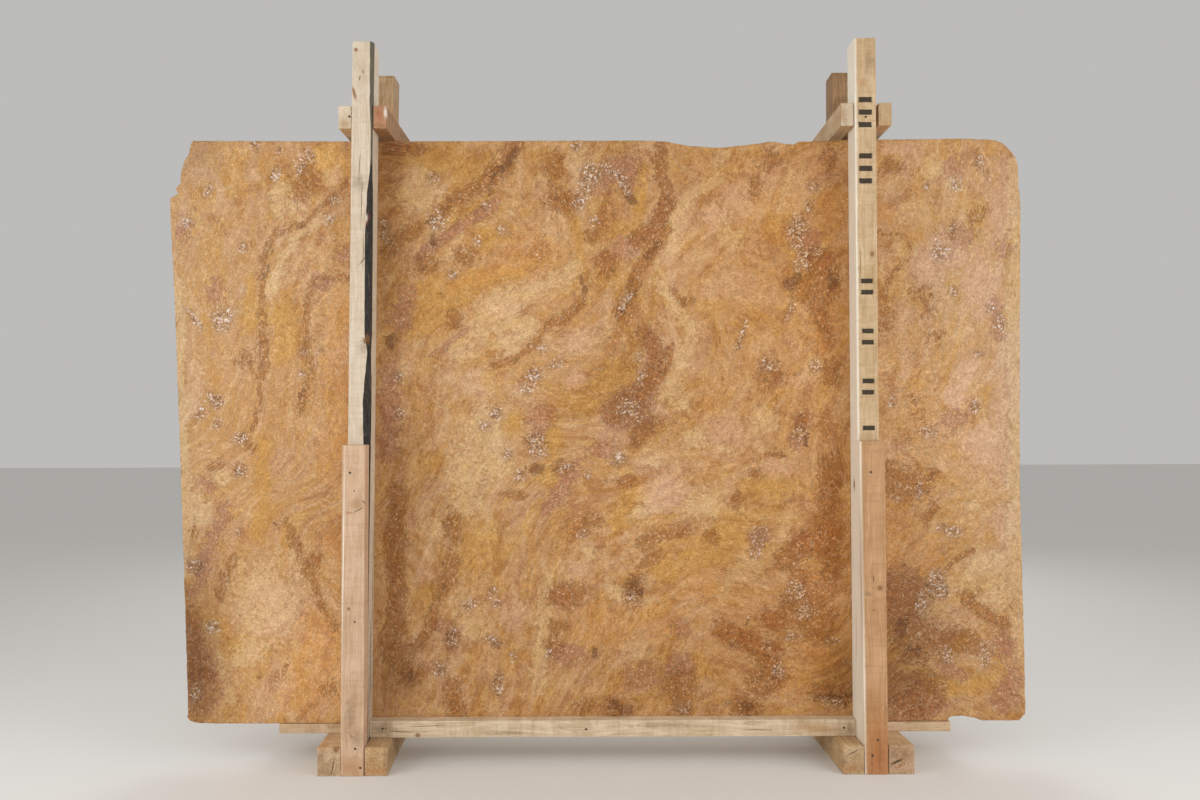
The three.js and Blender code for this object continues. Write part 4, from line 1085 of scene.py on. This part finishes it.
def end_spans(node, axis):
    """A timber's two ends: for each, where it is along its grain and its lowest and highest corner there."""
    co = np.array([v.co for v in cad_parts[node].data.vertices])
    k = "XYZ".index(axis)
    spans = []
    for place in (co[:, k].min(), co[:, k].max()):
        end = co[np.abs(co[:, k] - place) < 0.5 * MM]
        spans.append((end.min(0), end.max(0)))
    return spans


def timber_solid(node, axis, arris):
    """A sawn timber: a box between its two ends, with its arrises eased and its sides cut into small faces.
    Its end faces take the second material, and the bark on a waned arris the third."""
    (low_a, high_a), (low_b, high_b) = end_spans(node, axis)
    k = "XYZ".index(axis)
    bm = bmesh.new()
    bmesh.ops.create_cube(bm, size=1)
    for vert in bm.verts:
        share = vert.co + Vector((0.5, 0.5, 0.5))
        low, high = (low_b, high_b) if share[k] > 0.5 else (low_a, high_a)
        vert.co = [low[i] + (high[i] - low[i]) * share[i] for i in range(3)]
    length = high_b[k] - low_a[k]
    waned = node == "front_post_left"
    segments = 4 if waned else 2
    bmesh.ops.bevel(bm, geom=bm.edges[:], offset=arris, affect="EDGES", segments=segments, profile=0.5, material=-1)
    for face in bm.faces:
        face.material_index = 1 if abs(face.normal[k]) > 0.9 else 0
    lengthwise = [e for e in bm.edges if abs((e.verts[0].co - e.verts[1].co)[k]) > 0.5 * length]
    bmesh.ops.subdivide_edges(bm, edges=lengthwise, cuts=max(1, int(length / 0.02)), use_grid_fill=True)
    if waned:
        cut_wane(bm, high_a[0], high_b[0], low_a[1], length, arris)
    crosswise = [e for e in bm.edges if e.calc_length() > 0.02 and abs((e.verts[0].co - e.verts[1].co)[k]) < 0.01]
    bmesh.ops.subdivide_edges(bm, edges=crosswise, cuts=4, use_grid_fill=True)
    return bm


def cut_wane(bm, foot, head, front, length, arris):
    """Draws one long arris back to the round outside of the tree, and gives its faces the bark."""
    heights, across, side = np.array(WANE).T * MM
    bark = set()
    for vert in bm.verts:
        z = vert.co.z
        corner = foot + (head - foot) * z / length
        inward, deep = corner - vert.co.x, vert.co.y - front
        if inward < 1.3 * arris and deep < 1.3 * arris:
            ragged = 1.6 * MM * noise.noise(Vector((0, 3, z / 0.03)))
            a = np.interp(z, heights, across) + ragged
            s = np.interp(z, heights, side) + ragged
            t = min(1, max(0, (deep - inward + arris) / (2 * arris)))
            bulge = 0.55 * t * (1 - t)
            vert.co.x = corner - a * (1 - t) ** 2 - a * bulge
            vert.co.y = front + s * t**2 + s * bulge
            bark.add(vert)
    for face in bm.faces:
        if all(vert in bark for vert in face.verts):
            face.material_index = 2


# ---------------------------------------------------------------------------------------------------------------
# Settings
# ---------------------------------------------------------------------------------------------------------------


class SlabSettings(bpy.types.PropertyGroup):
    """Sizes of the slab's surface."""

    cell: bpy.props.FloatProperty(
        name="Cell", description="Spacing of the rows on the sawn faces", default=0.0112, unit="LENGTH"
    )
    pit_depth: bpy.props.FloatProperty(
        name="Pit depth", description="Depth of the larger pits", default=0.005, unit="LENGTH"
    )
    chip: bpy.props.FloatProperty(
        name="Chip", description="Depth of the chips along the arrises", default=0.0022, unit="LENGTH"
    )
    line_colour: bpy.props.FloatVectorProperty(
        name="Lines", description="Colour of the thin lines round the stone's marks", subtype="COLOR", size=4,
        min=0, max=1, default=linear("#6B4018"),
    )


class TimberSettings(bpy.types.PropertyGroup):
    """Sizes of the timbers' finish."""

    arris: bpy.props.FloatProperty(
        name="Arris", description="How far the sawn arrises are eased", default=0.002, unit="LENGTH"
    )
    nail: bpy.props.FloatProperty(
        name="Nail head", description="Radius of the nail heads", default=0.0038, unit="LENGTH"
    )
    dirt_colour: bpy.props.FloatVectorProperty(
        name="Dirt", description="Colour of the dirt on the sawn faces", subtype="COLOR", size=4, min=0, max=1,
        default=linear("#6E573F"),
    )


class StageSettings(bpy.types.PropertyGroup):
    """The floor and the lights."""

    side_power: bpy.props.FloatProperty(
        name="Side lights", description="Power of each end light", default=48.0, unit="POWER"
    )
    fill_power: bpy.props.FloatProperty(
        name="Fill light", description="Power of the front light", default=24.0, unit="POWER"
    )
    back_power: bpy.props.FloatProperty(
        name="Back light", description="Power of the light behind", default=60.0, unit="POWER"
    )
    floor_colour: bpy.props.FloatVectorProperty(
        name="Floor", description="Colour of the floor", subtype="COLOR", size=4,
        min=0, max=1, default=linear("#E4E2DE"),
    )


# ---------------------------------------------------------------------------------------------------------------
# Operators
# ---------------------------------------------------------------------------------------------------------------


class MakeSlab(bpy.types.Operator):
    """Makes the travertine slab"""

    bl_idname = "travertine.make_slab"
    bl_label = "Slab"

    def execute(self, context):
        settings = context.scene.travertine_slab
        bm = slab_solid(settings.cell)
        materials = [travertine_material(settings.line_colour)]
        piece = finish_piece(bm, "travertine", materials, "travertine_slab")
        mesh = piece.data
        co = np.empty(len(mesh.vertices) * 3)
        mesh.vertices.foreach_get("co", co)
        co = co.reshape(-1, 3)
        flat = co * (1, 0, 1)
        values = {kind: painted(flat, kind) for kind in KINDS}
        for name, areas in (("shade", TONES_AND_PAINTED_SHADE), ("blush", BLUSHES), ("calm", CALM)):
            values[name] = broad(flat, areas)
        for name, value in values.items():
            mesh.attributes.new(name, "FLOAT", "POINT").data.foreach_set("value", value.astype(np.float32))
        beds = mesh.attributes.new("beds", "FLOAT_VECTOR", "POINT")
        beds.data.foreach_set("vector", bed_places(flat).astype(np.float32).ravel())
        inset = np.empty(len(co))
        mesh.attributes["inset"].data.foreach_get("value", inset)
        co = roughen(co, inset, settings.pit_depth, settings.chip)
        mesh.vertices.foreach_set("co", co.ravel())
        mesh.polygons.foreach_set("use_smooth", [True] * len(mesh.polygons))
        mesh.update()
        return {"FINISHED"}


class MakeTimbers(bpy.types.Operator):
    """Makes the posts, bearers, ties, plank, rail and packing blocks"""

    bl_idname = "travertine.make_timbers"
    bl_label = "Timbers"

    def execute(self, context):
        settings = context.scene.travertine_timber
        for node, (axis, slot, light, dark, end_light, end_dark) in TIMBERS.items():
            label = node.replace("_", " ")
            marks = MARKS.get(node, [])
            pith, dirt = pith_of(node, axis), settings.dirt_colour
            materials = [
                pine_material(label + ", rough-sawn pine", axis, light, dark, pith, dirt, marks),
                pine_material(label + ", sawn pine end", axis, end_light, end_dark, pith, dirt, marks, end=True),
            ]
            if node == "front_post_left":
                materials.append(bark_material())
            bm = timber_solid(node, axis, settings.arris)
            finish_piece(bm, "sawn_" + node, materials, node)
        return {"FINISHED"}


class MakeNails(bpy.types.Operator):
    """Makes the nail heads on the frame's front"""

    bl_idname = "travertine.make_nails"
    bl_label = "Nails"

    def execute(self, context):
        radius = context.scene.travertine_timber.nail
        mesh = bpy.data.meshes.new("nail_heads")
        bm = bmesh.new()
        for x, y, z in NAILS:
            head = bmesh.ops.create_cone(
                bm, cap_ends=True, segments=14, radius1=radius, radius2=radius, depth=1.6 * MM
            )["verts"]
            rim = [
                e for e in bm.edges
                if e.verts[0] in head and e.verts[1] in head and abs(e.verts[0].co.z - e.verts[1].co.z) < 1e-6
            ]
            bmesh.ops.rotate(bm, verts=head, cent=(0, 0, 0), matrix=Matrix.Rotation(math.radians(90), 3, "X"))
            bmesh.ops.translate(bm, verts=head, vec=(x * MM, y * MM, z * MM))
            bmesh.ops.bevel(bm, geom=rim, offset=0.4 * MM, affect="EDGES", segments=1, profile=0.5, material=-1)
        bm.to_mesh(mesh)
        bm.free()
        mesh.materials.append(nail_material())
        heads = bpy.data.objects.new("nail_heads", mesh)
        context.scene.collection.objects.link(heads)
        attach(heads, "root")
        return {"FINISHED"}


class MakeStage(bpy.types.Operator):
    """Makes the floor, the lights and the camera"""

    bl_idname = "travertine.make_stage"
    bl_label = "Stage"

    def execute(self, context):
        settings = context.scene.travertine_stage
        scene = context.scene
        bm = bmesh.new()
        bmesh.ops.create_grid(bm, x_segments=1, y_segments=1, size=20)
        mesh = bpy.data.meshes.new("floor")
        bm.to_mesh(mesh)
        bm.free()
        material, tree, shader = new_material("pale studio floor, matt")
        shader.inputs["Base Color"].default_value = settings.floor_colour
        shader.inputs["Roughness"].default_value = 0.9
        mesh.materials.append(material)
        floor = bpy.data.objects.new("floor", mesh)
        scene.collection.objects.link(floor)
        world = bpy.data.worlds.new("pale studio")
        world.use_nodes = True
        world.node_tree.nodes["Background"].inputs["Color"].default_value = linear("#E9E8E6")
        world.node_tree.nodes["Background"].inputs["Strength"].default_value = 0.62
        scene.world = world
        for name, place, size, power in (
            ("left light", (-2.8, -2.0, 1.7), 2.8, settings.side_power),
            ("right light", (2.8, -2.0, 1.7), 2.8, settings.side_power),
            ("front light", (0, -4.5, 2.6), 3.0, settings.fill_power),
            ("back light", (0.5, 4.2, 3.0), 3.0, settings.back_power),
        ):
            lamp = bpy.data.lights.new(name, "AREA")
            lamp.size = size
            lamp.energy = power
            obj = bpy.data.objects.new(name, lamp)
            aim = Vector(LIGHTS_AIM) - Vector(place)
            obj.location = place
            obj.rotation_euler = aim.to_track_quat("-Z", "Y").to_euler()
            obj.visible_camera = False
            scene.collection.objects.link(obj)
        camera = bpy.data.cameras.new("camera")
        camera.lens = CAMERA_LENS
        camera.sensor_width = 36
        camera.shift_y = CAMERA_SHIFT
        viewer = bpy.data.objects.new("camera", camera)
        viewer.location = CAMERA_PLACE
        viewer.rotation_euler = (math.radians(90), math.radians(CAMERA_ROLL), 0)
        scene.collection.objects.link(viewer)
        scene.camera = viewer
        scene.view_settings.view_transform = "Standard"
        return {"FINISHED"}


class TravertinePanel(bpy.types.Panel):
    """Lists the pieces in the 3D view's sidebar"""

    bl_idname = "VIEW3D_PT_travertine"
    bl_label = "Travertine slab"
    bl_space_type = "VIEW_3D"
    bl_region_type = "UI"
    bl_category = "Travertine"

    def draw(self, context):
        for settings, operators in (
            (context.scene.travertine_slab, (MakeSlab,)),
            (context.scene.travertine_timber, (MakeTimbers, MakeNails)),
            (context.scene.travertine_stage, (MakeStage,)),
        ):
            box = self.layout.box()
            for name in settings.__annotations__:
                box.prop(settings, name)
            for operator in operators:
                box.operator(operator.bl_idname)


CLASSES = (SlabSettings, TimberSettings, StageSettings, MakeSlab, MakeTimbers, MakeNails, MakeStage, TravertinePanel)
SETTINGS = {"travertine_slab": SlabSettings, "travertine_timber": TimberSettings, "travertine_stage": StageSettings}


def register():
    for cls in CLASSES:
        bpy.utils.register_class(cls)
    for name, cls in SETTINGS.items():
        setattr(bpy.types.Scene, name, bpy.props.PointerProperty(type=cls))


def unregister():
    for name in SETTINGS:
        delattr(bpy.types.Scene, name)
    for cls in reversed(CLASSES):
        bpy.utils.unregister_class(cls)


def main():
    register()
    bpy.ops.travertine.make_stage()
    bpy.ops.travertine.make_slab()
    bpy.ops.travertine.make_timbers()
    bpy.ops.travertine.make_nails()


if __name__ == "__main__":
    main()
